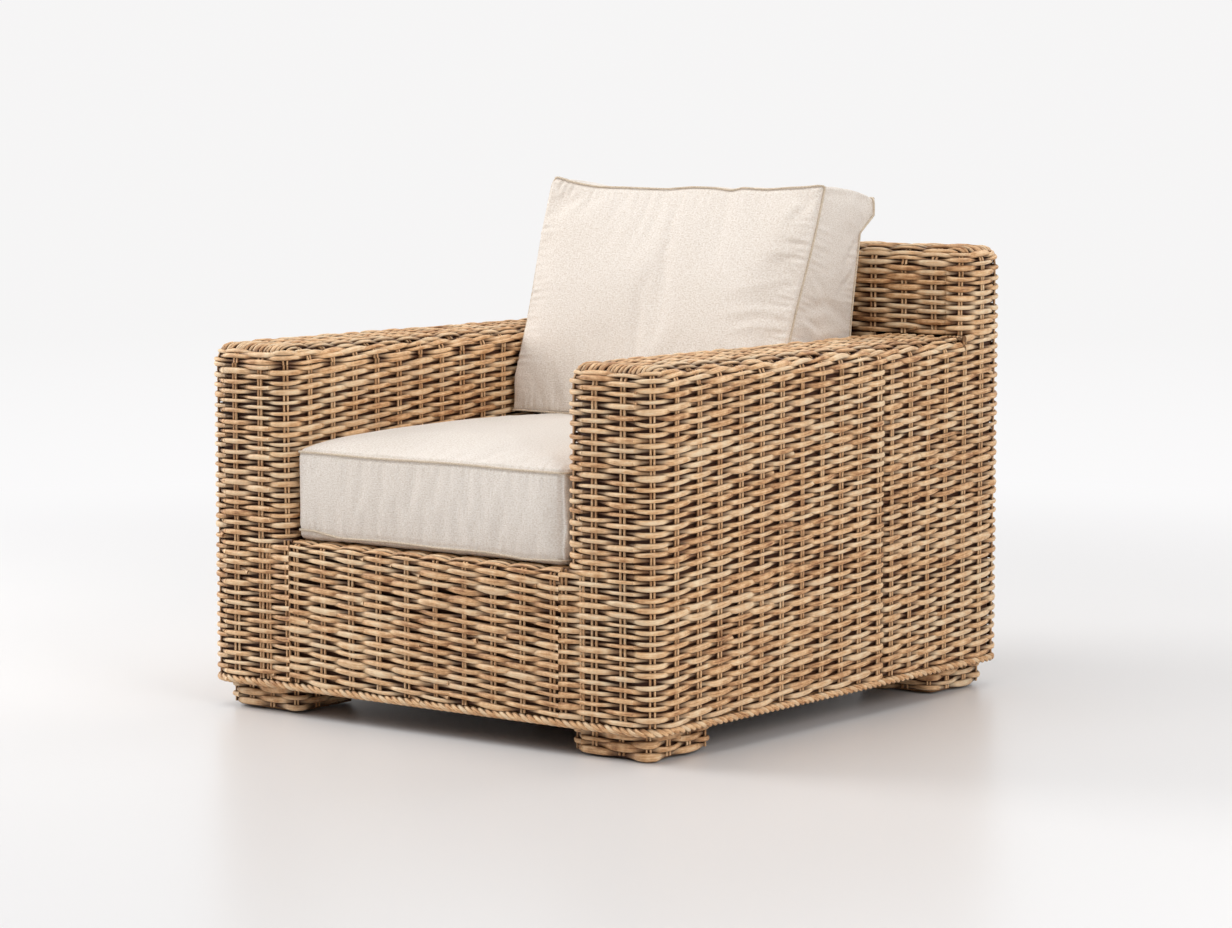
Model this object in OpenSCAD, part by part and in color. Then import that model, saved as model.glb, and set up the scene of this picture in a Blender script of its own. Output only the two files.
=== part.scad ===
// Woven rattan club armchair with loose boxed cushions.
// Millimetres. The front faces -Y and +Z is up. Left (-X) and right (+X) are as seen from
// in front of the chair. The origin is on the floor under its middle.

/* [Overall] */
// Width over both arms
chair_w = 900; // [840:10:1000]
// Depth from the apron to the rear weave
chair_d = 966; // [930:6:1020]
// Height of the arm tops
arm_h = 585; // [560:5:620]
// Height of the woven back
back_h = 730; // [700:5:760]

/* [Arms and back] */
// Width of each arm
arm_w = 180; // [160:5:200]
// Thickness of the woven back
back_t = 127; // [116:1:140]
// Height of the apron that the seat cushion lies behind
apron_h = 279; // [270:1:290]
// How far the apron's woven lip runs back under the cushion
apron_lip = 60; // [50:1:70]
// Radius of the apron's top edge
apron_r = 12; // [6:1:13]
// Radius of the upright corners
corner_r = 42; // [38:1:50]
// Radius of the arm and back top edges
edge_r = 32; // [26:1:36]
// Distance of the upright joint in each side panel from the rear weave
side_joint = 362; // [320:1:400]

/* [Weave] */
// Thickness of the woven skin, stakes and strands together
skin_t = 14; // [12:1:16]
// Height of each woven row on the outer sides and the rear
row_h = 16.6; // [14:0.2:20]
// Depth of the hollow between two woven rows
row_hollow = 6; // [3:0.5:7]
// Diameter of the twisted rope along the bottom edge
rope_d = 14; // [12:1:16]
// Height of the rope's lower edge above the floor
border_h = 41; // [36:1:50]

/* [Feet] */
// Width of each square woven foot
foot_w = 159; // [140:1:170]
// How far each foot stands in from the chair's faces
foot_inset = 22; // [18:1:26]
// Radius of the upright corners of a foot
foot_r = 24; // [18:1:30]
// Height of the nail-on glide under each foot
glide_h = 2.5; // [2:0.5:4]
// Diameter of the glide
glide_d = 26; // [20:1:40]
// Diameter of the glide's nail
nail_d = 2.4; // [2:0.2:3]
// Length of the glide's nail
nail_len = 16; // [12:1:24]

/* [Hardwood frame] */
// Side of the square frame bars
bar = 30; // [28:1:34]
// Width of the base boards
base_w = 60; // [54:1:80]
// Thickness of the base boards
base_t = 30; // [24:1:34]
// Number of seat slats
slat_n = 9; // [7:1:10]
// Width of each seat slat
slat_w = 50; // [40:1:60]
// Thickness of each seat slat
slat_t = 14; // [12:1:14]
// Diameter of the frame screws
screw_d = 5; // [4:0.5:6]
// Length of the frame screws
screw_len = 58; // [54:1:60]
// Length of the slat screws
slat_screw_len = 36; // [28:1:40]
// Diameter of a screw head
screw_head_d = 9; // [8:0.5:10]
// Height of a screw head
screw_head_h = 3; // [2.5:0.5:4]
// How deep a screw head is sunk below the wood
screw_sink = 4; // [3.5:0.5:5]

/* [Seat cushion] */
// Height of the boxing between the seams
seat_box = 139; // [130:1:146]
// Rise of the crowned top above its seam
seat_crown = 37; // [28:1:42]
// How far the back cushion presses the crown down
seat_press = 7; // [2:1:12]
// How far the cushion's front stands behind the apron's face
seat_setback = 20; // [16:1:30]
// Side clearance of the seat cushion between the arms
seat_side_gap = 2; // [1:0.5:6]
// How far the sides draw in between the corners
seat_draw = 5; // [2:1:8]
// Space behind the cushion for the zip
seat_rear_gap = 20; // [18:1:26]
// Radius of the upright cushion corners
cushion_r = 9; // [6:1:14]
// Thickness of the fibre wadding between the foam and the cover's seams
wadding = 12; // [9:1:16]

/* [Back cushion] */
// Length of the front panel from seam to seam
back_panel = 410; // [390:1:430]
// Lean of the front panel from upright
back_lean = 19.2; // [16:0.2:22]
// Depth of the boxing at the top of the cushion
back_box = 162; // [150:1:170]
// How far the slack front stands forward at its left side
back_skew = 15; // [0:1:18]
// How much lower the top of the slack front is at its right corner than in its middle
back_droop = 5; // [0:1:8]
// Fall of the top boxing towards the rear
back_fall = 10; // [4:1:14]
// Rise of the crowned front above its seams
back_crown = 22; // [14:1:28]
// How far the top edge dips between its corners
back_dip = 11; // [4:1:14]
// Depth of the cushion where it stands on the seat
back_foot = 226; // [210:1:235]
// Height of the flat band that holds the zip
zip_band = 30; // [28:1:40]
// Distance of the waist below the zip band from the woven back
waist_gap = 38; // [30:1:46]
// How far the waist lies below the zip band
waist_drop = 28; // [20:1:36]
// Side clearance of the back cushion between the arms
back_side_gap = 5; // [3:0.5:8]
// Extra half width of the cushion above the arms
back_flare = 8; // [0:1:12]

/* [Zips] */
// Width of the zip tape
tape_w = 20; // [18:1:24]
// Thickness of the zip tape
tape_t = 1.2; // [1:0.1:1.6]
// Width of the zip chain
chain_w = 6; // [5:0.5:7]
// Height of the zip chain above its tape
chain_t = 1.4; // [1.2:0.1:1.8]
// Length of the zip slider
slider_l = 9; // [8:1:12]
// Length of the zip pull
pull_l = 24; // [18:1:26]
// Distance of each zip's end from the cushion's side
zip_end = 23; // [20:1:40]

/* [Clearances] */
// Gap between the weave, the frame and the cushions
gap = 0.3; // [0.2:0.1:0.5]
// Clearance round a frame screw
screw_gap = 0.15; // [0.1:0.05:0.3]
// Clearance of the zip slider over its chain
zip_gap = 0.3; // [0.2:0.05:0.4]
// Radial clearance of the zip pull on its pin
pin_gap = 0.1; // [0.08:0.01:0.15]

/* [Hidden] */
$fn = 48;

LEFT = -1;
RIGHT = 1;
past = 1;              // how far a cutting shape runs past the face it opens

wood = [0.62, 0.45, 0.30];
rattan = [0.72, 0.55, 0.37];
rope = [0.76, 0.60, 0.42];
linen = [0.88, 0.85, 0.79];
foam = [0.93, 0.90, 0.74];
steel = [0.70, 0.70, 0.72];
brass = [0.66, 0.55, 0.36];
nylon = [0.25, 0.22, 0.20];

// Outer faces
side_x = chair_w / 2;
front_y = -chair_d / 2;
rear_y = chair_d / 2;
arm_x = side_x - arm_w;          // inner face of an arm
slab_y = rear_y - back_t;        // front face of the woven back
joint_y = rear_y - side_joint;   // upright joint in the side panels
arm_cap_z = arm_h - edge_r;      // where the upright weave meets the rounded top
back_cap_z = back_h - edge_r;
weave_z = border_h + rope_d + gap;

// Faces of the space that the frame stands in
inside = skin_t + gap;
out_x = side_x - inside;
in_x = arm_x + inside;
fr_y = front_y + inside;
re_y = rear_y - inside;
sl_y = slab_y + inside;
seat_z = apron_h - inside;       // top of the seat rails
deck_z = apron_h + gap;          // underside of the seat cushion
arm_rail_z = arm_cap_z - bar;
back_rail_z = back_cap_z - bar;

// The slats fill the seat from the apron's lip to the back
slat_y0 = front_y + apron_lip + 5 * gap;
slat_y1 = slab_y - 5 * gap;
slat_pitch = (slat_y1 - slat_y0 - slat_w) / (slat_n - 1);

// ---------------------------------------------------------------- plan shapes

// Rectangle with round corners, centred
module round_rect(w, d, r) {
    square([w - 2 * r, d], center = true);
    square([w, d - 2 * r], center = true);
    for (x = [-1, 1], y = [-1, 1])
        translate([x * (w / 2 - r), y * (d / 2 - r)]) circle(r);
}

// Outline of the whole chair, drawn in by a distance
module chair_plan(by = 0) round_rect(chair_w - 2 * by, chair_d - 2 * by, corner_r - by);

// Outline of one arm, open towards the back
module arm_plan(side, by = 0) {
    long = chair_d + 2 * corner_r;
    translate([side * (side_x - arm_w / 2), front_y + long / 2])
        round_rect(arm_w - 2 * by, long - 2 * by, corner_r - by);
}

// Plan rectangle between two opposite corners, on either side of the chair
module plan_box(side, x0, x1, y0, y1)
    translate([side > 0 ? min(x0, x1) : -max(x0, x1), y0])
        square([abs(x1 - x0), y1 - y0]);

// ---------------------------------------------------------------- frame screws

// Each screw has the place of its head's face, the way its point goes and its length.
// The two screws that cross in one post are staggered, so that they pass each other.
stagger = bar / 4;
post_out = out_x - bar / 2;
post_in = in_x + bar / 2;
seat_low = seat_z - bar / 2 - stagger;
seat_high = seat_z - bar / 2 + stagger;
arm_mid = arm_rail_z + bar / 2;

// Two screws start at the round corner of a post, this far behind its flat face
round_set = let (r = corner_r - inside, a = post_out + screw_head_d / 2 - side_x + corner_r)
    r - sqrt(r * r - a * a);

function post_screws(s) = [for (p = [
    [[post_out, fr_y + bar / 2, border_h], [0, 0, 1]],
    [[post_in, fr_y + bar / 2, border_h], [0, 0, 1]],
    [[post_out, re_y - bar / 2, border_h], [0, 0, 1]],
    [[post_in, sl_y + bar / 2, border_h], [0, 0, 1]],
    [[post_out, fr_y + bar / 2, arm_cap_z], [0, 0, -1]],
    [[post_in, fr_y + bar / 2, arm_cap_z], [0, 0, -1]],
    [[post_out, re_y - bar / 2, back_cap_z], [0, 0, -1]],
    [[post_in, sl_y + bar / 2, back_cap_z], [0, 0, -1]],
    [[post_out, re_y - round_set, arm_mid], [0, -1, 0]],
    [[post_in, sl_y + bar, arm_mid], [0, -1, 0]],
    [[post_in, fr_y + round_set, seat_low], [0, 1, 0]],
    [[post_in, sl_y + bar, seat_low], [0, -1, 0]],
    [[in_x + bar, fr_y + bar / 2, seat_high], [-1, 0, 0]],
    [[in_x + bar, sl_y + bar / 2, seat_high], [-1, 0, 0]]
]) [[s * p[0][0], p[0][1], p[0][2]], [s * p[1][0], p[1][1], p[1][2]], screw_len]];

function slat_screws(s) = [for (i = [0:slat_n - 1])
    [[s * post_in, slat_y0 + i * slat_pitch + slat_w / 2, seat_z + slat_t],
     [0, 0, -1], slat_screw_len]];

// Three screws hold each foot: two go into the front or rear board, one into the side
// board, each in the middle of the strip where board and block overlap.
foot_x = side_x - foot_inset - foot_w / 2;
foot_y = chair_d / 2 - foot_inset - foot_w / 2;
foot_in = foot_w / 2 - inside;

function foot_screws(s) = [
    for (x = [-1, 1]) [[s * (foot_x + x * foot_w / 4), (fr_y + base_w - foot_y - foot_in) / 2,
                        glide_h], [0, 0, 1], screw_len],
    for (x = [-1, 1]) [[s * (foot_x + x * foot_w / 4), (sl_y + foot_y + foot_in) / 2, glide_h],
                       [0, 0, 1], screw_len],
    for (y = [(fr_y + base_w - foot_y + foot_in) / 2, (sl_y + foot_y - foot_in) / 2])
        [[s * (out_x - base_w + foot_x + foot_in) / 2, y, glide_h], [0, 0, 1], screw_len]
];

function side_screws(s) = concat(post_screws(s), slat_screws(s), foot_screws(s));
screws = concat(side_screws(LEFT), side_screws(RIGHT));

// Turns +Z to the given axis direction
module aim(dir)
    rotate(dir[0] != 0 ? [0, 90 * dir[0], 0]
         : dir[1] != 0 ? [-90 * dir[1], 0, 0]
         : dir[2] < 0 ? [180, 0, 0] : [0, 0, 0]) children();

module screw_at(s) translate(s[0]) aim(s[1]) children();

module screw(length) {
    translate([0, 0, screw_sink - screw_head_h]) cylinder(d = screw_head_d, h = screw_head_h);
    translate([0, 0, screw_sink]) cylinder(d = screw_d, h = length - screw_sink);
}

module screw_bore(length) {
    translate([0, 0, -round_set - past])
        cylinder(d = screw_head_d + 2 * screw_gap, h = screw_sink + round_set + past);
    cylinder(d = screw_d + 2 * screw_gap, h = length + gap);
}

// Whether a screw's bore reaches into the box between lo and hi
function reaches(s, lo, hi) =
    let (a = s[0], b = s[0] + s[1] * s[2], m = screw_head_d / 2)
    min([for (i = [0:2]) min(max(a[i], b[i]) + m - lo[i], hi[i] + m - min(a[i], b[i]))]) > 0;

module screw_bores(lo, hi)
    for (s = screws) if (reaches(s, lo, hi)) screw_at(s) screw_bore(s[2]);

// A bar of the frame between two corners, inside the rounded outline of the chair
// or of the arm on its side, with its screw holes
module frame_bar(side, x, y, z, in_arm = false) {
    lo = [side > 0 ? x[0] : -x[1], y[0], z[0]];
    hi = [side > 0 ? x[1] : -x[0], y[1], z[1]];
    color(wood) difference() {
        translate([0, 0, lo[2]]) linear_extrude(hi[2] - lo[2]) intersection() {
            translate([lo[0], lo[1]]) square([hi[0] - lo[0], hi[1] - lo[1]]);
            if (in_arm) arm_plan(side, inside); else chair_plan(inside);
        }
        screw_bores(lo, hi);
    }
}

// ---------------------------------------------------------------- frame

out_bar = [out_x - bar, out_x];
in_bar = [in_x, in_x + bar];
front_bar = [fr_y, fr_y + bar];
rear_bar = [re_y - bar, re_y];
slab_bar = [sl_y, sl_y + bar];
base_z = border_h + base_t;
base_bar = [border_h, base_z];
seat_bar = [seat_z - bar, seat_z];
arm_bar = [arm_rail_z, arm_cap_z];
back_bar = [back_rail_z, back_cap_z];

module front_post_outer(side) frame_bar(side, out_bar, front_bar, [base_z, arm_rail_z]);
module front_post_inner(side)
    frame_bar(side, in_bar, front_bar, [base_z, arm_rail_z], in_arm = true);
module rear_post(side) frame_bar(side, out_bar, rear_bar, [base_z, back_rail_z]);
module back_post(side) frame_bar(side, in_bar, slab_bar, [base_z, back_rail_z]);
module arm_rail_outer(side)
    frame_bar(side, out_bar, [fr_y, rear_bar[0]], arm_bar, in_arm = true);
module arm_rail_inner(side)
    frame_bar(side, in_bar, [fr_y, sl_y], arm_bar, in_arm = true);

// Cross pieces between the arm rails. They reach up to the woven arm top.
bearer_n = 4;
module arm_bearers()
    color(wood) for (side = [LEFT, RIGHT], i = [0:bearer_n - 1]) {
        run = sl_y - fr_y - 2 * (edge_r + bar);
        y = fr_y + edge_r + bar / 2 + i * run / (bearer_n - 1);
        translate([side > 0 ? in_bar[1] : -out_bar[0], y, arm_rail_z])
            cube([out_bar[0] - in_bar[1], bar, arm_h - inside - arm_rail_z]);
    }

module back_top_rail_front() frame_bar(RIGHT, [-out_x + edge_r, out_x - edge_r], slab_bar, back_bar);
module back_top_rail_rear() frame_bar(RIGHT, [-out_x, out_x], rear_bar, back_bar);

// Cross pieces between the two top rails. They reach up to the woven back top.
tie_n = 5;
module back_bearers()
    color(wood) for (i = [0:tie_n - 1]) {
        run = 2 * (out_x - edge_r) - bar;
        translate([-out_x + edge_r + i * run / (tie_n - 1), slab_bar[1], back_rail_z])
            cube([bar, rear_bar[0] - slab_bar[1], back_h - inside - back_rail_z]);
    }

module seat_rail_front() frame_bar(RIGHT, [-in_x, in_x], front_bar, seat_bar);
module seat_rail_rear() frame_bar(RIGHT, [-in_x, in_x], slab_bar, seat_bar);
module seat_rail(side) frame_bar(side, in_bar, [front_bar[1], sl_y], seat_bar);

// The base boards carry every post. The feet tie them together at the corners.
module base_board_front()
    frame_bar(RIGHT, [-out_x, out_x], [fr_y, fr_y + base_w], base_bar);
module base_board_rear() frame_bar(RIGHT, [-out_x, out_x], [sl_y, re_y], base_bar);
module base_board(side)
    frame_bar(side, [out_x - base_w, out_x], [fr_y + base_w, sl_y], base_bar);

// Slats lie across the side seat rails
module seat_slats()
    for (i = [0:slat_n - 1]) {
        y = slat_y0 + i * slat_pitch;
        frame_bar(RIGHT, [-in_bar[1], in_bar[1]], [y, y + slat_w], [seat_z, seat_z + slat_t]);
    }

module frame_screws() color(steel) for (s = screws) screw_at(s) screw(s[2]);

// ---------------------------------------------------------------- feet

module at_foot(side, end) translate([side * foot_x, end * foot_y]) children();
module each_foot() for (side = [-1, 1], end = [-1, 1]) at_foot(side, end) children();

module foot_blocks() color(wood) difference() {
    each_foot() translate([0, 0, glide_h]) linear_extrude(border_h - glide_h)
        round_rect(2 * foot_in, 2 * foot_in, foot_r - inside);
    for (s = concat(foot_screws(LEFT), foot_screws(RIGHT))) screw_at(s) screw_bore(s[2]);
    each_foot() cylinder(d = nail_d + 2 * screw_gap, h = glide_h + nail_len + gap);
}

module foot_glides() color(nylon) each_foot() {
    cylinder(d = glide_d, h = glide_h);
    cylinder(d = nail_d, h = glide_h + nail_len);
}

// The woven wrap goes round the block and stops just under the rope border
module foot_wrap(side, end)
    color(rattan) at_foot(side, end) translate([0, 0, glide_h])
        linear_extrude(border_h - glide_h - gap) difference() {
            round_rect(foot_w, foot_w, foot_r);
            round_rect(foot_w - 2 * skin_t, foot_w - 2 * skin_t, foot_r - skin_t);
        }

// ---------------------------------------------------------------- woven skins

module upright(z0, z1) color(rattan) translate([0, 0, z0]) linear_extrude(z1 - z0) children();

module arm_ring(side) difference() { arm_plan(side); arm_plan(side, skin_t); }

// Section of an outer skin between two heights, with a rib for each woven row. Its
// crests are at x = 0 and its inner face is at x = -skin_t.
rib = [[0, 1], [0.2, 0.3], [0.5, 0], [0.8, 0.3]];      // height and depth within a row

module rows_section(z0, z1) {
    n = max(1, round((z1 - z0) / row_h));
    h = (z1 - z0) / n;
    polygon(concat(
        [for (i = [0:n - 1], p = rib) [-p[1] * row_hollow, z0 + (i + p[0]) * h]],
        [[-row_hollow, z1], [-skin_t, z1], [-skin_t, z0]]));
}

// That skin along a side of the chair
module rows_wall(side, y0, y1, z0, z1)
    color(rattan) translate([side * side_x, side > 0 ? y1 : y0, 0])
        rotate([90, 0, side > 0 ? 0 : 180]) linear_extrude(y1 - y0) rows_section(z0, z1);

// That skin round an upright corner, whose middle is at y and which faces the front
// (end = -1) or the rear (end = 1)
module rows_corner(side, end, y, z0, z1)
    color(rattan) translate([side * (side_x - corner_r), y, 0])
        rotate(end > 0 ? (side > 0 ? 0 : 90) : (side > 0 ? -90 : 180))
            rotate_extrude(angle = 90) translate([corner_r, 0]) rows_section(z0, z1);

module arm_side_weave(side) {
    rows_wall(side, front_y + corner_r, joint_y - gap, weave_z, arm_cap_z);
    rows_corner(side, -1, front_y + corner_r, weave_z, arm_cap_z);
}

module arm_inner_weave(side)
    upright(deck_z, arm_cap_z) intersection() {
        arm_ring(side);
        plan_box(side, arm_x, arm_x + corner_r, front_y, slab_y - gap);
    }

module arm_front_weave(side) {
    upright(weave_z, arm_cap_z)
        plan_box(side, arm_x + corner_r, side_x - corner_r, front_y, front_y + skin_t);
    upright(weave_z, apron_h)
        plan_box(side, arm_x, arm_x + corner_r, front_y, front_y + skin_t);
}

// Half profile of a rounded top, out to x, as high as its edge radius
module cap_edge(x, r) {
    square([x - r, r]);
    translate([x - r, 0]) intersection() {
        circle(r);
        square(r);
    }
}

// Solid with round corners and a rounded top edge, its base at z = 0. Its middle, its
// end strips and its quarter-turn corners meet face to face.
module cap_solid(w, d, rc, r) {
    for (side = [0, 1]) rotate([90, 0, 180 * side])
        linear_extrude(d - 2 * rc, center = true) cap_edge(w / 2, r);
    for (end = [0, 180]) rotate(end) {
        translate([0, d / 2 - rc, 0]) rotate([90, 0, 90])
            linear_extrude(w - 2 * rc, center = true) cap_edge(rc, r);
        for (x = [-1, 1]) translate([x * (w / 2 - rc), d / 2 - rc, 0])
            rotate(x > 0 ? 0 : 90) rotate_extrude(angle = 90) cap_edge(rc, r);
    }
}

// The woven skin over a top: a cap with an even wall
module cap_shell(w, d) difference() {
    cap_solid(w, d, corner_r, edge_r);
    cap_solid(w - 2 * skin_t, d - 2 * skin_t, corner_r - skin_t, edge_r - skin_t);
    translate([0, 0, -past]) linear_extrude(past)
        round_rect(w - 2 * skin_t, d - 2 * skin_t, corner_r - skin_t);
}

module arm_top_weave(side) {
    long = chair_d + 2 * corner_r;
    color(rattan) intersection() {
        translate([side * (side_x - arm_w / 2), front_y + long / 2, arm_cap_z + gap])
            cap_shell(arm_w, long);
        translate([side > 0 ? 0 : -chair_w, front_y - past, 0])
            cube([chair_w, slab_y - gap - front_y + past, back_h]);
    }
}

module back_top_weave()
    color(rattan) translate([0, rear_y - back_t / 2, back_cap_z + gap]) cap_shell(chair_w, back_t);

// The rear part of a side: it runs round the rear corner, and above the arm round
// the front edge of the back as well
module rear_side_weave(side) {
    rear = rear_y - corner_r;
    rows_wall(side, joint_y, rear, weave_z, arm_cap_z);
    rows_wall(side, slab_y, rear, arm_cap_z, arm_h + gap);
    rows_wall(side, slab_y + corner_r, rear, arm_h + gap, back_cap_z);
    rows_corner(side, 1, rear, weave_z, arm_cap_z);
    rows_corner(side, 1, rear, arm_cap_z, arm_h + gap);
    rows_corner(side, 1, rear, arm_h + gap, back_cap_z);
    rows_corner(side, -1, slab_y + corner_r, arm_h + gap, back_cap_z);
}

module back_inner_weave() {
    upright(deck_z, arm_h + 2 * gap)
        plan_box(RIGHT, -arm_x, arm_x, slab_y, slab_y + skin_t);
    upright(arm_h + 2 * gap, back_cap_z)
        plan_box(RIGHT, corner_r - side_x, side_x - corner_r, slab_y, slab_y + skin_t);
}

// Its rows carry on from those of the rear side panels
module back_outer_weave()
    color(rattan) translate([0, rear_y, 0]) rotate([90, 0, 90])
        linear_extrude(2 * (side_x - corner_r), center = true) {
            rows_section(weave_z, arm_cap_z);
            rows_section(arm_cap_z, arm_h + gap);
            rows_section(arm_h + gap, back_cap_z);
        }

module apron_weave() {
    half = arm_x - gap;
    color(rattan) rotate([90, 0, 90]) linear_extrude(2 * half, center = true) {
        translate([front_y, weave_z]) square([skin_t, apron_h - apron_r - weave_z]);
        translate([front_y + apron_r, apron_h - apron_r]) intersection() {
            circle(apron_r);
            translate([-apron_r, 0]) square(apron_r);
        }
        translate([front_y + apron_r, apron_h - skin_t]) square([apron_lip - apron_r, skin_t]);
        translate([front_y, apron_h - skin_t]) square([skin_t, skin_t - apron_r]);
    }
}

// One side of the rope border with the corner at its end, built along +X
module rope_run(length) {
    rotate([0, 90, 0]) linear_extrude(length - 2 * corner_r, center = true) circle(d = rope_d);
    translate([length / 2 - corner_r, corner_r - rope_d / 2, 0])
        rotate([0, 0, -90]) rotate_extrude(angle = 90)
            translate([corner_r - rope_d / 2, 0]) circle(d = rope_d);
}

// Quarter turns count anticlockwise from the front
module rope_border(quarter) {
    across = quarter % 2 == 0;
    color(rope) rotate([0, 0, 90 * quarter])
        translate([0, -(across ? chair_d : chair_w) / 2 + rope_d / 2, border_h + rope_d / 2])
            rope_run(across ? chair_w : chair_d);
}

// ---------------------------------------------------------------- cushions

// Closed skin over a row of loops with the same number of points, ends included
module loft(loops) {
    n = len(loops);
    m = len(loops[0]);
    mean = function (l) [for (i = [0:2]) [for (p = l) p[i]] * [for (p = l) 1] / m];
    points = [for (l = loops) each l, mean(loops[0]), mean(loops[n - 1])];
    faces = [
        for (i = [0:n - 2], j = [0:m - 1])
            let (a = i * m + j, b = i * m + (j + 1) % m, c = b + m, d = a + m)
            each [[a, b, c], [a, c, d]],
        for (j = [0:m - 1]) [n * m, (j + 1) % m, j],
        for (j = [0:m - 1]) [n * m + 1, (n - 1) * m + j, (n - 1) * m + (j + 1) % m]
    ];
    polyhedron(points, faces);
}

// Stations across a cushion from -1 to 1, closer together near its sides
stations = [-1, -0.985, -0.955, -0.9, -0.8, -0.62, -0.42, -0.2, 0,
            0.2, 0.42, 0.62, 0.8, 0.9, 0.955, 0.985, 1];

// Fullness from 1 in the middle to 0 at the seams, gentle or steep near them
function full(t, p) = 1 - pow(min(1, abs(t)), p);
function steep(t, p) = sqrt(full(t, p));
// How far the corner radius draws a face back at station u of a half width
function corner_in(u, half) =
    let (x = max(0, abs(u) * half - (half - cushion_r)))
    cushion_r - sqrt(cushion_r * cushion_r - min(x, cushion_r) * min(x, cushion_r));

seat_half = arm_x - seat_side_gap;
seat_y0 = front_y + seat_setback;
seat_y1 = slab_y - seat_rear_gap;
seat_seam = deck_z + seat_box;
seat_top = seat_seam + seat_crown - seat_press;    // where the back cushion stands
seat_mid = (seat_y0 + seat_y1) / 2;
seat_long = (seat_y1 - seat_y0) / 2;
seat_under = 12;       // how far the lower front edge rolls under
press_ahead = 10;      // how far ahead of the back cushion the crown is pressed down

// Loop of points round the seat cushion at station u, from the lower front edge
function seat_loop(u) =
    let (
        e = corner_in(u, seat_half),
        front = seat_y0 + e + seat_draw * full(u, 2) / 2,
        rear = seat_y1 - e,
        press_y = low_front[0] - press_ahead,
        side = function (y) u * (seat_half - seat_draw * full((y - seat_mid) / seat_long, 2)),
        at = function (y, z) [side(y), y, z]
    ) [
        at(front + seat_under, deck_z),
        at(front + seat_under / 4, deck_z + seat_under / 4),
        at(front, deck_z + seat_under),
        at(front, deck_z + seat_box / 2),
        for (k = [0:12])
            let (y = mix(press_y, k < 6 ? front : rear, abs(cos(15 * k))),
                 t = 2 * (y - front) / (rear - front) - 1)
            at(y, seat_seam + steep(u, 8) * steep(t, 9)
               * (seat_crown - seat_press * smooth((y - seat_mid) / (press_y - seat_mid)))),
        at(rear, deck_z + seat_box / 2),
        at(rear, deck_z + seat_under),
        at(rear - seat_under, deck_z),
        for (k = [1:4]) at(rear + (front - rear) * k / 5, deck_z)
    ];

module seat_cavity(by = 0) {
    x = seat_half - seat_draw - wadding + by;
    y = seat_long - cushion_r - wadding + by;
    translate([-x, seat_mid - y, deck_z + wadding - by])
        cube([2 * x, 2 * y, seat_box - 2 * wadding + 2 * by]);
}

module seat_cushion_cover() color(linen) difference() {
    loft([for (u = stations) seat_loop(u)]);
    seat_cavity(gap);
}
module seat_cushion_core() color(foam) seat_cavity();

// Corners of the back cushion's side profile, in the YZ plane
back_half = arm_x - back_side_gap;
back_z0 = seat_top + gap;
band_set = 2;            // how far behind the woven face the zip band's plane stands
back_rear = slab_y + band_set;
fall_y = back_box * cos(back_fall);
top_front = [back_rear - fall_y, back_z0 + back_panel * cos(back_lean)];
low_front = top_front - back_panel * [sin(back_lean), cos(back_lean)];
top_rear = top_front + back_box * [cos(back_fall), -sin(back_fall)];
band_low = top_rear - [0, zip_band];
waist = [slab_y - waist_gap, band_low[1] - waist_drop];
low_rear = [low_front[0] + back_foot, back_z0];
box_rise = 4;            // rise of the top boxing between its seams
slack_gap = 6;           // least gap between the slack rear and the woven back

function mix(a, b, t) = a + (b - a) * t;
function smooth(t) = let (c = min(1, max(0, t))) c * c * (3 - 2 * c);

// Loop of points round the back cushion at station u, from the lower front seam
function back_loop(u) =
    let (
        half = back_half,
        e = corner_in(u, half),
        f = full(u, 3),
        ahead = back_skew * min(0, u),
        droop = back_droop * u,
        flare = function (z) back_flare * smooth((z - arm_h) / (band_low[1] - arm_h)),
        at = function (p) [u * (half + flare(p[1])), p[0], p[1]],
        out = [-cos(back_lean), sin(back_lean)],
        dip = [0, -back_dip * full(u, 4)]
    ) [
        for (k = [0:10])
            let (t = (1 - cos(18 * k)) / 2, p = mix(low_front, top_front, t))
            at(p + [ahead * smooth(6 * t), -droop * t] + dip * smooth(2 * t - 1)
               + out * (back_crown * f * full(2 * t - 1, 4) - e)),
        at(mix(top_front, top_rear, 0.5) + [ahead / 2, box_rise - droop / 2] + dip),
        at(top_rear - [e, 0] + dip),
        at(mix(top_rear, band_low, 0.5) - [e, 0]),
        at(band_low - [e, 0]),
        for (k = [1:6])
            let (t = k / 6, p = mix(waist, low_rear, t),
                 bulge = (waist_gap - slack_gap) * full(u, 2) * full(2 * t - 1, 2))
            at([p[0] - e + bulge, p[1]]),
        for (k = [1:3]) at(mix(low_rear, low_front, k / 4))
    ];

// Filling: a plain wedge of fibre inside the cover
fill_front = 4;          // how much further in than the wadding it starts at the front
fill_top = 12;           // how much lower than the wadding it ends at the top seam
fill_foot = 10;          // how much further in than the wadding it ends at the lower rear
module back_cavity(by = 0) {
    x = back_half - wadding - cushion_r + by;
    color(foam) rotate([90, 0, 90]) linear_extrude(2 * x, center = true)
        offset(delta = by) polygon([
            low_front + [wadding + fill_front, wadding],
            top_front + [wadding + fill_front, -wadding - back_dip - fill_top],
            top_rear + [-wadding, -wadding - back_dip],
            [waist[0] - wadding, waist[1]],
            low_rear + [-wadding - fill_foot, wadding]
        ]);
}

module back_cushion_cover() color(linen) difference() {
    loft([for (u = stations) back_loop(u)]);
    back_cavity(gap);
}
module back_cushion_core() back_cavity();

// ---------------------------------------------------------------- zips

slider_w = chain_w + 6;
slider_t = 2.2;
lug_w = 1.4;
pin_d = 1.2;
knuckle_d = 2.8;
chain_top = tape_t + chain_t;
slider_top = chain_top + zip_gap + slider_t;
pin_y = slider_top + knuckle_d / 2 + zip_gap;

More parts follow.
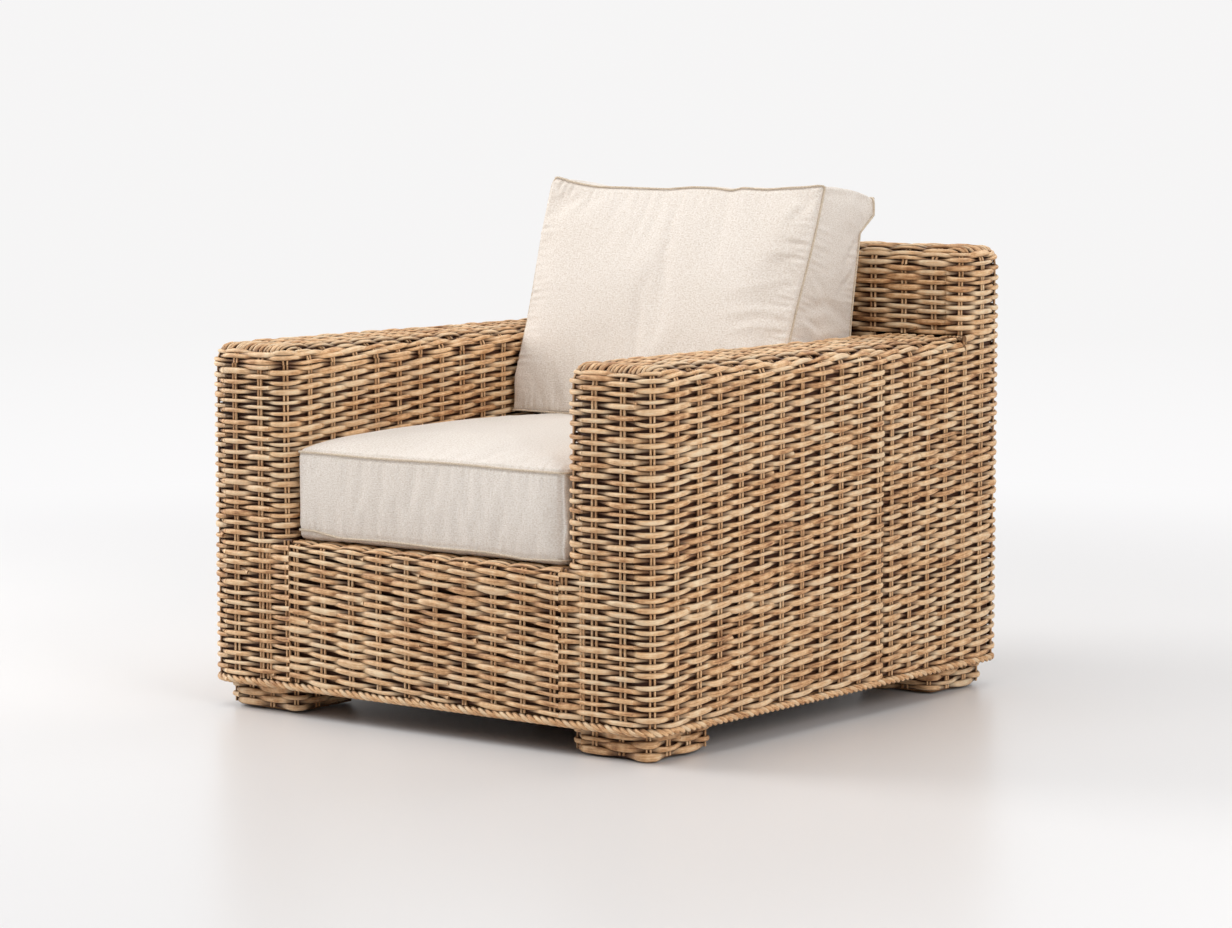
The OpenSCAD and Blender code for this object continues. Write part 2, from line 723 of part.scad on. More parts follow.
module zip_tape(half) color(linen) {
    translate([-half, 0, -tape_w / 2]) cube([2 * half, tape_t, tape_w]);
    translate([-half, tape_t, -chain_w / 2]) cube([2 * half, chain_t, chain_w]);
}

// The slider straddles the chain and holds the pin of its pull
module zip_slider() color(brass) {
    difference() {
        translate([-slider_l / 2, tape_t + zip_gap, -slider_w / 2])
            cube([slider_l, slider_top - tape_t - zip_gap, slider_w]);
        translate([-slider_l, 0, -chain_w / 2 - zip_gap])
            cube([2 * slider_l, chain_top + zip_gap, chain_w + 2 * zip_gap]);
    }
    for (x = [-slider_l / 2, slider_l / 2 - lug_w])
        translate([x, slider_top, -knuckle_d / 2])
            cube([lug_w, pin_y - slider_top + knuckle_d / 2, knuckle_d]);
    translate([lug_w / 2 - slider_l / 2, pin_y, 0]) rotate([0, 90, 0])
        cylinder(d = pin_d, h = slider_l - lug_w);
}

// The pull hangs from the pin
module zip_pull() color(brass) {
    w = slider_l - 2 * lug_w - 2 * zip_gap;
    difference() {
        union() {
            translate([-w / 2, pin_y, 0]) rotate([0, 90, 0]) cylinder(d = knuckle_d, h = w);
            translate([-w / 2, pin_y - 0.5, -pull_l + w / 2]) cube([w, 1, pull_l - w / 2]);
            translate([0, pin_y + 0.5, -pull_l + w / 2]) rotate([90, 0, 0]) cylinder(d = w, h = 1);
        }
        translate([-w, pin_y, 0]) rotate([0, 90, 0]) cylinder(d = pin_d + 2 * pin_gap, h = 2 * w);
    }
}

seat_zip_half = seat_half - seat_draw - zip_end;
back_zip_half = back_half + back_flare - zip_end;
module on_seat_zip() translate([0, seat_y1 + gap, deck_z + seat_box / 2]) children();
module on_back_zip() translate([0, back_rear + gap, band_low[1] + tape_w / 2 + 2]) children();

module seat_zip_tape() on_seat_zip() zip_tape(seat_zip_half);
module back_zip_tape() on_back_zip() zip_tape(back_zip_half);
module at_seat_slider() on_seat_zip() translate([seat_zip_half - slider_l, 0, 0]) children();
module seat_zip_slider() at_seat_slider() zip_slider();
module seat_zip_pull() at_seat_slider() zip_pull();
module at_back_slider() on_back_zip() translate([back_zip_half - slider_l, 0, 0]) children();
module back_zip_slider() at_back_slider() zip_slider();
module back_zip_pull() at_back_slider() zip_pull();

// ---------------------------------------------------------------- nodes

front_post_outer(LEFT);  // front_post_outer_left
front_post_outer(RIGHT);  // front_post_outer_right
front_post_inner(LEFT);  // front_post_inner_left
front_post_inner(RIGHT);  // front_post_inner_right
rear_post(LEFT);  // rear_post_left
rear_post(RIGHT);  // rear_post_right
back_post(LEFT);  // back_post_left
back_post(RIGHT);  // back_post_right
arm_rail_outer(LEFT);  // arm_rail_outer_left
arm_rail_outer(RIGHT);  // arm_rail_outer_right
arm_rail_inner(LEFT);  // arm_rail_inner_left
arm_rail_inner(RIGHT);  // arm_rail_inner_right
arm_bearers();
back_top_rail_front();
back_top_rail_rear();
back_bearers();
seat_rail_front();
seat_rail_rear();
seat_rail(LEFT);  // seat_rail_left
seat_rail(RIGHT);  // seat_rail_right
base_board_front();
base_board_rear();
base_board(LEFT);  // base_board_left
base_board(RIGHT);  // base_board_right
seat_slats();
frame_screws();
foot_blocks();
foot_glides();
foot_wrap(LEFT, -1);  // foot_wrap_front_left
foot_wrap(RIGHT, -1);  // foot_wrap_front_right
foot_wrap(LEFT, 1);  // foot_wrap_rear_left
foot_wrap(RIGHT, 1);  // foot_wrap_rear_right
arm_side_weave(LEFT);  // arm_side_weave_left
arm_side_weave(RIGHT);  // arm_side_weave_right
arm_inner_weave(LEFT);  // arm_inner_weave_left
arm_inner_weave(RIGHT);  // arm_inner_weave_right
arm_front_weave(LEFT);  // arm_front_weave_left
arm_front_weave(RIGHT);  // arm_front_weave_right
arm_top_weave(LEFT);  // arm_top_weave_left
arm_top_weave(RIGHT);  // arm_top_weave_right
rear_side_weave(LEFT);  // rear_side_weave_left
rear_side_weave(RIGHT);  // rear_side_weave_right
back_inner_weave();
back_outer_weave();
back_top_weave();
apron_weave();
rope_border(0);  // rope_border_front
rope_border(1);  // rope_border_right
rope_border(2);  // rope_border_rear
rope_border(3);  // rope_border_left
seat_cushion_cover();
seat_cushion_core();
seat_zip_tape();
seat_zip_slider();
seat_zip_pull();
back_cushion_cover();
back_cushion_core();
back_zip_tape();
back_zip_slider();
back_zip_pull();
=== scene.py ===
"""Woven rattan club armchair with loose linen cushions, in the frame of the CAD part."""
import math

import bpy
import numpy as np
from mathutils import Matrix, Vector
from mathutils.kdtree import KDTree


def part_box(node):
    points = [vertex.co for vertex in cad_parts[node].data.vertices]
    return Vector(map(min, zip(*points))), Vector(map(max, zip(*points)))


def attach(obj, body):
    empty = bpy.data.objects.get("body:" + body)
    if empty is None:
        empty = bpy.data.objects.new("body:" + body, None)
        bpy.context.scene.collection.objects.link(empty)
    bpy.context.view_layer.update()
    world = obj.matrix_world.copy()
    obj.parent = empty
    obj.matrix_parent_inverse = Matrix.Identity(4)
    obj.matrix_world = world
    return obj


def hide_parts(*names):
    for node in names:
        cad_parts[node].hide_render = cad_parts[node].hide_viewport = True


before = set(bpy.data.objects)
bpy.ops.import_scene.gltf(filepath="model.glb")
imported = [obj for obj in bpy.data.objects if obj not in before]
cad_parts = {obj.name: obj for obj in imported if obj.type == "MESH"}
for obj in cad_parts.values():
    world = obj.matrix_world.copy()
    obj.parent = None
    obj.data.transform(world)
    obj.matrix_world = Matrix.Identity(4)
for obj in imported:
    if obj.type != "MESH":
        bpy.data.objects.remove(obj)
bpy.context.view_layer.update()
MM = 0.001


# ------------------------------------------------------------------ hardwood frame
# Sawn hardwood bars and boards, glued and screwed inside the woven skins. They are the
# CAD solids: this section gives them unfinished wood with grain along each bar.

class Value:
    """A number that varies over a surface. Python's operators on it add Math nodes."""

    def __init__(self, nodes, socket):
        self.nodes, self.socket = nodes, socket

    def maths(self, operation, *values):
        return self.nodes.node("Math", {"operation": operation}, *values)

    def __add__(self, other):
        return self.maths("ADD", self, other)

    def __sub__(self, other):
        return self.maths("SUBTRACT", self, other)

    def __rsub__(self, other):
        return self.maths("SUBTRACT", other, self)

    def __mul__(self, other):
        return self.maths("MULTIPLY", self, other)

    __radd__, __rmul__ = __add__, __mul__


class Nodes:
    """The node tree of a finish or of the studio. Each method adds one node to it."""

    def __init__(self, tree):
        self.tree = tree

    def feed(self, socket, value):
        if isinstance(value, Value):
            self.tree.links.new(value.socket, socket)
        else:
            socket.default_value = value

    def node(self, kind, settings=None, *inputs, out=0, **named):
        """Any node: its settings first, then its sockets in order or by name."""
        made = self.tree.nodes.new("ShaderNode" + kind)
        settings = dict(settings or {})
        stops = settings.pop("stops", None)
        for key, value in settings.items():
            setattr(made, key, value)
        if stops:
            bar = made.color_ramp.elements
            while len(bar) < len(stops):
                bar.new(1.0)
            for stop, (place, colour) in zip(bar, stops):
                stop.position, stop.color = place, colour
        for key, value in list(enumerate(inputs)) + list(named.items()):
            key = key if isinstance(key, int) else key.replace("_", " ")
            self.feed(made.inputs[key], value)
        return Value(self, made.outputs[out])

    def blend(self, share, first, second):
        """A colour between two others, by its share of the second."""
        mixed = self.node("Mix", {"data_type": "RGBA"}, share, out=2)
        for socket, colour in ((6, first), (7, second)):
            self.feed(mixed.socket.node.inputs[socket], colour)
        return mixed

    def ramp(self, value, *stops):
        return self.node("ValToRGB", {"stops": [(p, paint(c)) for p, c in stops]}, value)

    def scaled(self, vector, *scale):
        return self.node("VectorMath", {"operation": "MULTIPLY"}, vector, scale)

    def place(self):
        return self.node("TexCoord", out="Object")

    def larger(self, first, second):
        return self.node("Math", {"operation": "MAXIMUM"}, first, second)

    def magnitude(self, value):
        return self.node("Math", {"operation": "ABSOLUTE"}, value)


class Finish(Nodes):
    """A procedural material: constants go onto the shader's sockets, nodes make the rest."""

    def __init__(self, name, **constants):
        self.material = bpy.data.materials.new(name)
        self.material.use_nodes = True
        super().__init__(self.material.node_tree)
        self.shader = self.tree.nodes["Principled BSDF"]
        for socket, value in constants.items():
            self.shader.inputs[socket.replace("_", " ")].default_value = value

    def wear(self, colour, roughness, height, strength, depth):
        """Colour, roughness if it varies, and a bump as strong and as deep as given."""
        self.feed(self.shader.inputs["Base Color"], colour)
        if roughness:
            self.feed(self.shader.inputs["Roughness"], roughness)
        bump = self.node("Bump", None, strength, depth, Height=height)
        self.feed(self.shader.inputs["Normal"], bump)
        return self.material


def paint(colour):
    """Linear colour from one written as it shows."""
    return tuple(((c + 0.055) / 1.055) ** 2.4 if c > 0.04045 else c / 12.92
                 for c in colour[:3]) + (1.0,)


def dress(material, *nodes):
    for name in nodes:
        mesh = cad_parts[name].data
        mesh.materials.clear()
        mesh.materials.append(material)


def sawn_wood(name, axis):
    """Hardwood as it leaves the saw: grain along an axis, and fine marks of the blade."""
    wood = Finish(name)
    along = [60.0, 60.0, 60.0]
    along[axis] = 4.0
    grain = wood.node("TexNoise", None, wood.scaled(wood.place(), *along), Scale=1.0,
                      Detail=5.0, Roughness=0.6)
    saw = wood.node("TexNoise", None, wood.scaled(wood.place(), *[a * 6 for a in along]),
                    Scale=1.0, Detail=2.0)
    colour = wood.ramp(grain, (0.3, (0.42, 0.28, 0.17)), (0.7, (0.66, 0.48, 0.31)))
    return wood.wear(colour, 0.6 + 0.2 * grain, grain * 0.6 + saw * 0.4, 0.35, 0.0006)


ACROSS, ALONG, UP = 0, 1, 2
bars = {ACROSS: [], ALONG: [], UP: []}
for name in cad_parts:
    if "post" in name:
        bars[UP].append(name)
    elif name in ("seat_rail_left", "seat_rail_right", "base_board_left", "base_board_right",
                  "back_bearers") or name.startswith("arm_rail"):
        bars[ALONG].append(name)
    elif name in ("arm_bearers", "seat_slats", "seat_rail_front", "seat_rail_rear",
                  "base_board_front", "base_board_rear", "foot_blocks",
                  "back_top_rail_front", "back_top_rail_rear"):
        bars[ACROSS].append(name)
for axis, title in ((ACROSS, "across"), (ALONG, "along"), (UP, "upright")):
    dress(sawn_wood("sawn wood " + title, axis), *bars[axis])


# ------------------------------------------------------------------ screws and glides
# Zinc-plated steel wood screws hold the frame together, and a moulded nylon glide is nailed
# under each foot. They are CAD solids too.

zinc = Finish("zinc plated steel", Metallic=1.0)
spots = zinc.node("TexNoise", None, zinc.place(), Scale=900.0, Detail=3.0)
dress(zinc.wear(zinc.ramp(spots, (0.35, (0.62, 0.62, 0.60)), (0.7, (0.78, 0.78, 0.77))),
                0.25 + 0.3 * spots, spots, 0.1, 0.0002), "frame_screws")

nylon = Finish("moulded nylon")
speckle = nylon.node("TexNoise", None, nylon.place(), Scale=1500.0, Detail=2.0)
dress(nylon.wear(nylon.ramp(speckle, (0.3, (0.12, 0.10, 0.09)), (0.7, (0.17, 0.145, 0.13))),
                 0.5 + 0.2 * speckle, speckle, 0.15, 0.0002), "foot_glides")


# ------------------------------------------------------------------ woven foot wraps
# Each hardwood foot is wrapped in four thick rounds of rattan over thin upright stakes,
# nailed on at the back. The weave's helpers are here, because the feet are woven first.

SKIN = 14.0            # depth of the woven skin: a strand, a stake and a strand
CORNER = 42.0          # radius of the chair's upright corners
EDGE = 32.0            # radius of the arm and back top edges
STAKE, APART = 2.3, 3.3    # half thickness of a stake, and half the gap between two
SHADE_SHEET_DEPTH = 13.2         # depth of the dark sheet of painted shade that closes the weave from behind
RISER = 0.3            # gap between one woven piece and the next above or beside it
DRIFT, SINK = 0.85, 0.5        # how far a strand wanders along its wall and into it
WIDER, THICKER = 0.13, 0.08    # share by which its width and thickness vary on the way
GIRTH, HIGHER = 0.09, 0.45     # spread of whole strands in girth, and in height
LOOSE, STRAY = 0.3, 8.0        # share of strands with a loose end, and how far it strays
GROOVE, GROOVE_WIDE = 3.0, 7.0     # how far a joint between two pieces draws strands in
TUCK_FROM, TUCK_LAST = 46.0, 10.0      # before its tucked end a strand levels out and dives
TUCK_EASE = 18.0               # over what length it levels out
TUCK_DEPTH, TUCK_DIVE = 3.8, 6.0   # depth of a strand before it tucks in, and its dive
TUCK_THIN = 0.16               # share by which its tip is thinner
STAKE_LEAN, STAKE_BOW = 1.0, 0.8   # how far a pair of stakes leans and each of them bows
STAKE_TONE, STAKE_SHADE_LIFT = 0.45, 3.0    # stakes are darker than strands, but get less painted shade


class Outline:
    """Plan line of a woven wall, walked anticlockwise, in millimetres."""

    def __init__(self, start, heading, moves):
        xs, ys, hs, us = [start[0]], [start[1]], [heading], [0.0]
        for kind, size, *radius in moves:
            if kind == "go":
                steps = [(size, 0.0)]
            else:
                n, swept = 40, abs(math.radians(size))
                arc = swept * radius[0]
                steps = [(2 * radius[0] * math.sin(swept / n / 2), size / n)] * n
            for chord, turn in steps:
                mid = math.radians(hs[-1] + turn / 2)
                xs.append(xs[-1] + chord * math.cos(mid))
                ys.append(ys[-1] + chord * math.sin(mid))
                us.append(us[-1] + (chord if not turn else arc / n))
                hs.append(hs[-1] + turn)
        self.length = us[-1]
        self.u, self.x, self.y, self.h = map(np.array, (us, xs, ys, hs))

    def at(self, u, inset):
        """Point at a distance along the line and in from it."""
        h = np.radians(np.interp(u, self.u, self.h))
        over = np.where(u < 0, u, np.where(u > self.length, u - self.length, 0.0))
        x = np.interp(u, self.u, self.x) + over * np.cos(h) - inset * np.sin(h)
        y = np.interp(u, self.u, self.y) + over * np.sin(h) + inset * np.cos(h)
        return x, y


def wall(line, top=1e6, radius=EDGE):
    """Place of a point on a wall that rounds over inwards above a height."""
    def place(u, v, depth):
        turn = np.clip((v - top) / radius, 0, math.pi / 2)
        flat = np.maximum(0, v - top - radius * math.pi / 2)
        x, y = line.at(u, radius - (radius - depth) * np.cos(turn) + flat)
        return np.stack([x, y, np.minimum(v, top) + (radius - depth) * np.sin(turn)], -1)
    return place


class Strands:
    """Collects the round strands of one woven piece and turns them into its mesh."""

    def __init__(self):
        self.co, self.quads, self.ends, self.count = [], [], [], 0
        self.uv, self.tone, self.shade = [], [], []

    def lay(self, place, u, v, depth, half, thick, tone, sides=8, bared=0.0):
        """One strand along a row of points. half and thick are its half sizes, and bared
        says by how much less than its depth it gets painted shade."""
        u, v, depth, half, thick = np.broadcast_arrays(*map(
            lambda a: np.asarray(a, float), (u, v, depth, half, thick)))
        du, dv = np.gradient(u), np.gradient(v)
        size = np.hypot(du, dv) + 1e-9
        turn = 2 * math.pi * np.arange(sides) / sides
        wide = half[:, None] * np.cos(turn)
        ring_u = u[:, None] - wide * (dv / size)[:, None]
        ring_v = v[:, None] + wide * (du / size)[:, None]
        ring_d = depth[:, None] - thick[:, None] * np.sin(turn)
        self.tube(place(ring_u, ring_v, ring_d), tone, ring_d - bared)

    def tube(self, rings, tone, depth=None):
        """A closed tube through rings of points, with a map along it and round it."""
        n, sides = rings.shape[:2]
        run = np.cumsum(np.r_[0, np.linalg.norm(np.diff(rings.mean(1), axis=0), axis=1)])
        base = self.count + np.arange(n * sides).reshape(n, sides)
        nxt = np.roll(base, -1, axis=1)
        self.quads.append(
            np.stack([base[:-1], nxt[:-1], nxt[1:], base[1:]], -1).reshape(-1, 4))
        k = np.arange(sides) / sides
        grid = np.stack(np.broadcast_arrays(
            np.stack([run[:-1], run[:-1], run[1:], run[1:]], -1)[:, None, :],
            np.stack([k, k + 1 / sides, k + 1 / sides, k], -1)[None, :, :]), -1)
        self.uv.append((grid + np.array([tone * 7919.0 % 97.0, 0.0])).reshape(-1, 2))
        self.ends += [base[0], base[-1][::-1]]
        self.co.append(rings.reshape(-1, 3))
        self.tone.append(np.full(n * sides, tone))
        # How deep a point lies in the skin sets how much painted shade the finish gives it.
        self.shade.append(np.zeros(n * sides) if depth is None else (depth / SKIN).ravel())
        self.count += n * sides

    def lining(self, place, u, v, depth):
        """A dark sheet of painted shade behind the strands, which closes the gaps of the weave.
        """
        grid_u, grid_v = np.meshgrid(u, v, indexing="ij")
        co = place(grid_u, grid_v, np.full_like(grid_u, depth))
        n, m = grid_u.shape
        base = self.count + np.arange(n * m).reshape(n, m)
        self.quads.append(np.stack([base[:-1, :-1], base[1:, :-1], base[1:, 1:],
                                    base[:-1, 1:]], -1).reshape(-1, 4))
        self.uv.append(np.zeros((4 * (n - 1) * (m - 1), 2)))
        self.co.append(co.reshape(-1, 3))
        self.tone.append(np.full(n * m, 0.0))
        # A shade of 1.6 paints the sheet in the darkest colour of the painted shade.
        self.shade.append(np.full(n * m, 1.6))
        self.count += n * m

    def piece(self, name, material):
        """One mesh of all the strands, smooth along them and flat across their ends."""
        quads = np.concatenate(self.quads)
        loops, starts = [quads.ravel()], [np.arange(len(quads)) * 4]
        uv = [np.concatenate(self.uv)]
        at = quads.size
        for end in self.ends:
            loops.append(end)
            starts.append([at])
            uv.append(np.zeros((len(end), 2)))
            at += len(end)
        mesh = bpy.data.meshes.new(name)
        mesh.vertices.add(self.count)
        mesh.vertices.foreach_set("co", (np.concatenate(self.co) * MM).ravel())
        mesh.loops.add(at)
        mesh.loops.foreach_set("vertex_index", np.concatenate(loops).astype(np.int32))
        starts = np.concatenate(starts).astype(np.int32)
        mesh.polygons.add(len(starts))
        mesh.polygons.foreach_set("loop_start", starts)
        smooth = np.zeros(len(starts), bool)
        smooth[:len(quads)] = True
        mesh.polygons.foreach_set("use_smooth", smooth)
        mesh.update(calc_edges=True)
        mesh.uv_layers.new(name="along").data.foreach_set("uv", np.concatenate(uv).ravel())
        for title, values in (("tone", self.tone), ("depth", self.shade)):
            mesh.attributes.new(title, "FLOAT", "POINT").data.foreach_set(
                "value", np.concatenate(values))
        mesh.materials.append(material)
        made = bpy.data.objects.new(name, mesh)
        bpy.context.scene.collection.objects.link(made)
        return made


def ease(t):
    t = np.clip(t, 0, 1)
    return t * t * (3 - 2 * t)


def wander(draw, q, amount):
    """Smooth random drift with a new value at each stake."""
    values = draw.normal(0, amount, int(q[-1] - q[0]) + 4)
    at = q - math.floor(q[0])
    i = np.floor(at).astype(int)
    f = ease(at - i)
    return values[i] * (1 - f) + values[i + 1] * f


def row(pieces, place, stakes, height, aside, front, draw, twist=None, lean=None, size=None,
        half=4.1, thick=3.2, swing=4.0, rise=2.4, steps=6, groove=(), rough=1.0, tuck=None,
        bared=0.0):
    """One strand of a row, in front of the stakes whose number has the parity of front.
    A plain strand stays aside of its row's middle and climbs by lean as it comes forward.
    Where twist is 1 it twines with its neighbour instead, by rise. pieces lists (from, to,
    Strands): a row is cut where one piece ends and the next starts. At tuck it dives under."""
    lo, hi = min(p[0] for p in pieces), max(p[1] for p in pieces)
    number = np.arange(len(stakes))
    q_lo, q_hi = np.interp([lo, hi], stakes, number)
    q = np.unique(np.r_[q_lo, np.arange(math.ceil(q_lo * steps),
                                        math.floor(q_hi * steps) + 1) / steps, q_hi])
    u = np.interp(q, number, stakes)
    phase = math.pi * (q - front)
    tw = twist(u) if twist else 0.0
    climb = tw * rise + (lean(u) if lean else 0.0)
    v = (height + aside * (1 - abs(tw)) + climb * np.sin(phase)
         + wander(draw, q, DRIFT * rough))
    half = half * size(u) if size else half
    forward = 0.5 * np.cos(phase) + 0.5 * np.sin(math.pi / 2 * np.cos(phase))
    depth = SKIN / 2 - swing * forward + wander(draw, q, SINK * rough)
    wide = half * (1 + 0.10 * np.cos(phase)) * (1 + wander(draw, q, WIDER * rough))
    deep = thick * (1 + 0.06 * np.cos(phase)) * (1 + wander(draw, q, THICKER * rough))
    for edge in groove:
        depth = depth + GROOVE * np.exp(-((u - edge) / GROOVE_WIDE) ** 2)
    if tuck:
        free = np.clip((u - tuck + TUCK_FROM) / TUCK_EASE, 0, 1)
        dive = np.clip((u - tuck + TUCK_LAST) / TUCK_LAST, 0, 1)
        depth = depth + (TUCK_DEPTH - depth) * ease(free) + TUCK_DIVE * dive * dive
        wide = wide * (1 - TUCK_THIN * free)
    behind = math.floor(q_lo) - 1
    behind += (behind - front + 1) % 2
    behind -= 2 * int(draw.integers(0, 3))
    while behind < q_hi:
        ahead = behind + 2 * int(draw.integers(1, 6))
        if tuck and ahead > q_hi - 1.5:
            ahead = q_hi + 1
        own, tone = 1 + draw.normal(0, GIRTH), draw.random()
        high = draw.normal(0, HIGHER)
        loose = draw.random() < LOOSE and not tuck
        stray = draw.normal(0, STRAY) * loose
        over = 0.5 if loose else 0.1
        a, b = np.interp([max(behind - 0.1, q_lo), min(ahead + over, q_hi)], number, stakes)
        for start, end, strands in pieces:
            s, e = max(a, start), min(b, end)
            if e - s < 2.0:
                continue
            inner = u[(u > s + 0.5) & (u < e - 0.5)]
            at = np.r_[s, inner, e]
            past = np.clip(np.interp(at, stakes, number) - ahead, 0, 1)
            body = own * np.interp(at, u, deep)
            strands.lay(place, at, np.interp(at, u, v) + high + stray * past,
                        np.maximum(np.interp(at, u, depth) - 0.5 * abs(stray) * past,
                                   body + 0.1),
                        own * np.interp(at, u, wide) * (1 - 0.5 * past * loose), body, tone,
                        bared=bared)
        behind = ahead


def weave(pieces, place, stakes, heights, pitch, draw, **form):
    """Rows of paired strands: one of each pair passes in front of the even stakes, the
    other in front of the odd ones."""
    for height in heights:
        for front in (0, 1):
            row(pieces, place, stakes, height, (1 - 2 * front) * pitch / 4, front, draw, **form)


def plant(strands, place, stakes, low, high, draw, step=30.0, bends=()):
    """Pairs of thin upright stakes that the rows go round."""
    for u in stakes:
        lean = draw.normal(0, STAKE_LEAN)
        for side in (-APART, APART):
            points = max(2, int((high - low) / step) + 1)
            v = np.unique(np.r_[np.linspace(low, high, points), bends])
            bow = np.interp(v, [low, (low + high) / 2, high], draw.normal(0, STAKE_BOW, 3))
            strands.lay(place, u + side + lean + bow, v, SKIN / 2, STAKE, STAKE,
                        STAKE_TONE * draw.random(), sides=6, bared=STAKE_SHADE_LIFT)


def nail_on(strands, node, name=None):
    """Ends a woven piece: it takes its CAD node's place and is nailed to the frame."""
    made = strands.piece(name or "woven_" + node.replace("_weave", ""), rattan.material)
    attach(made, "root")
    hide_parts(node)


# Peeled and unpeeled cane: each strand has its own tone, fibres along it and a grey bloom in
# patches. Painted shade darkens the hollows where strands pass behind, and the edges of each
# strand where it touches the next.
rattan = Finish("natural rattan", Roughness=0.55, Specular_IOR_Level=0.35)
tone = rattan.node("Attribute", {"attribute_name": "tone"}, out=2)
deep = rattan.node("Attribute", {"attribute_name": "depth"}, out=2)
along = rattan.node("UVMap", {"uv_map": "along"})
spot = rattan.place()
fibre = rattan.node("TexNoise", None, rattan.scaled(along, 0.02, 11.0, 1.0), Scale=1.0,
                    Detail=4.0, Roughness=0.65)
skin = rattan.node("TexNoise", None, rattan.scaled(along, 0.05, 2.6, 1.0), Scale=1.0,
                   Detail=3.0, Roughness=0.6)
bloom = rattan.node("TexNoise", None, spot, Scale=38.0, Detail=4.0, Roughness=0.6)
patch = rattan.node("TexNoise", None, spot, Scale=9.0, Detail=2.0)
level = tone * 0.13 + fibre * 0.46 + skin * 0.46 + patch * 0.20 - 0.095
cane = rattan.ramp(level, (0.35, (0.55, 0.36, 0.22)), (0.45, (0.79, 0.60, 0.42)),
                   (0.54, (0.91, 0.745, 0.56)), (0.66, (0.975, 0.870, 0.720)))
grey = rattan.node("MapRange", None, bloom * 0.7 + tone * 0.3, 0.45, 0.70, 0.0, 0.35)
cane = rattan.blend(grey, cane, paint((0.78, 0.69, 0.58)))
# Painted shade: a dark band along the upper and lower edge of each strand, where it lies
# against the next.
around = rattan.node("SeparateXYZ", None, along, out=1)
seam = rattan.node("MapRange", None, rattan.magnitude(around - 0.25), 0.12, 0.25, 0.0, 0.70)
# Painted shade: the deeper a point lies in the weave, the nearer it turns to the dark colour
# below.
hollow = rattan.node("MapRange", None, deep, 0.22, 0.62, 0.0, 0.97)
cane = rattan.blend(rattan.larger(seam, hollow), cane, paint((0.27, 0.135, 0.07)))
rattan.wear(cane, 0.42 + 0.25 * skin, fibre * 0.7 + skin * 0.5, 0.7, 0.0010)

FOOT, FOOT_CORNER = 159.0, 24.0    # width of a foot over its weave, and its corners
FOOT_AT = (348.5, 381.5)       # middle of a foot, across and along from the chair's middle
FOOT_LOW, FOOT_HIGH = 5.6, 40.7    # lower and upper edge of its weave
FOOT_ROWS, FOOT_STAKES = 2, 12


def foot_line(x, y):
    flat = FOOT - 2 * FOOT_CORNER
    return Outline((x - flat / 2, y - FOOT / 2), 0,
                   [("go", flat), ("turn", 90, FOOT_CORNER)] * 4)


for seed, (end, y_side) in enumerate((("front", -1), ("rear", 1))):
    for hand, x_side in (("left", -1), ("right", 1)):
        draw = np.random.default_rng(40 + 2 * seed + (x_side > 0))
        line = foot_line(x_side * FOOT_AT[0], y_side * FOOT_AT[1])
        strands = Strands()
        stakes = line.length / FOOT_STAKES * (np.arange(FOOT_STAKES + 2) - 0.5)
        pitch = (FOOT_HIGH - FOOT_LOW) / FOOT_ROWS
        rows = FOOT_LOW + pitch * (np.arange(FOOT_ROWS) + 0.5)
        weave([(0, line.length, strands)], wall(line), stakes, rows, pitch, draw, half=4.9,
              thick=3.3, rough=1.4)
        plant(strands, wall(line), stakes[1:-1], FOOT_LOW + 1, FOOT_HIGH - 0.5, draw)
        strands.lining(wall(line), np.linspace(0, line.length, 49), [FOOT_LOW, FOOT_HIGH],
                       SHADE_SHEET_DEPTH)
        nail_on(strands, "foot_wrap_%s_%s" % (end, hand))


# ------------------------------------------------------------------ apron
# The low front panel of woven rattan, nailed to the base board and the seat rail. Its
# strands fall to the right, and it is rounded over at the top into a lip that runs back
# under the seat cushion.

LOW = 55.3                     # lower edge of every panel, over the rope border
FRONT = -483.0                 # front face of the chair
APRON_HALF, APRON_TOP = 269.7, 279.0   # half its width, and its top
APRON_EDGE, LIP = 12.0, 60.0   # radius of its upper edge, and how far its lip runs back
APRON_ROWS = 19
APRON_STEP = 57.0              # between two pairs of stakes
APRON_FALL = -1.3              # how far a strand falls as it comes forward

draw = np.random.default_rng(7)
strands = Strands()
line = Outline((-APRON_HALF, FRONT), 0, [("go", 2 * APRON_HALF)])
place = wall(line, APRON_TOP - APRON_EDGE, APRON_EDGE)
apron_end = APRON_TOP - APRON_EDGE + APRON_EDGE * math.pi / 2 + LIP - APRON_EDGE
pitch = (apron_end - LOW) / APRON_ROWS
stakes = APRON_HALF - 2 + APRON_STEP * (np.arange(14) - 6.5)
weave([(0, line.length, strands)], place, stakes,
      LOW + pitch * (np.arange(APRON_ROWS) + 0.5), pitch, draw,
      lean=lambda u: np.full_like(u, APRON_FALL), half=4.2, thick=3.1, rough=1.2)
bends = np.linspace(APRON_TOP - APRON_EDGE, APRON_TOP + 8, 8)
plant(strands, place, stakes[1:-1], LOW, apron_end, draw, bends=bends)
strands.lining(place, np.linspace(0, line.length, 20), np.r_[LOW, bends, apron_end], SHADE_SHEET_DEPTH)
nail_on(strands, "apron_weave")


# ------------------------------------------------------------------ arms
# One run of woven rattan goes round each arm, nailed to its posts and rails: level strands
# across the narrow front, climbing ones along the inner and outer faces. It is laid as three
# pieces that share their rows.

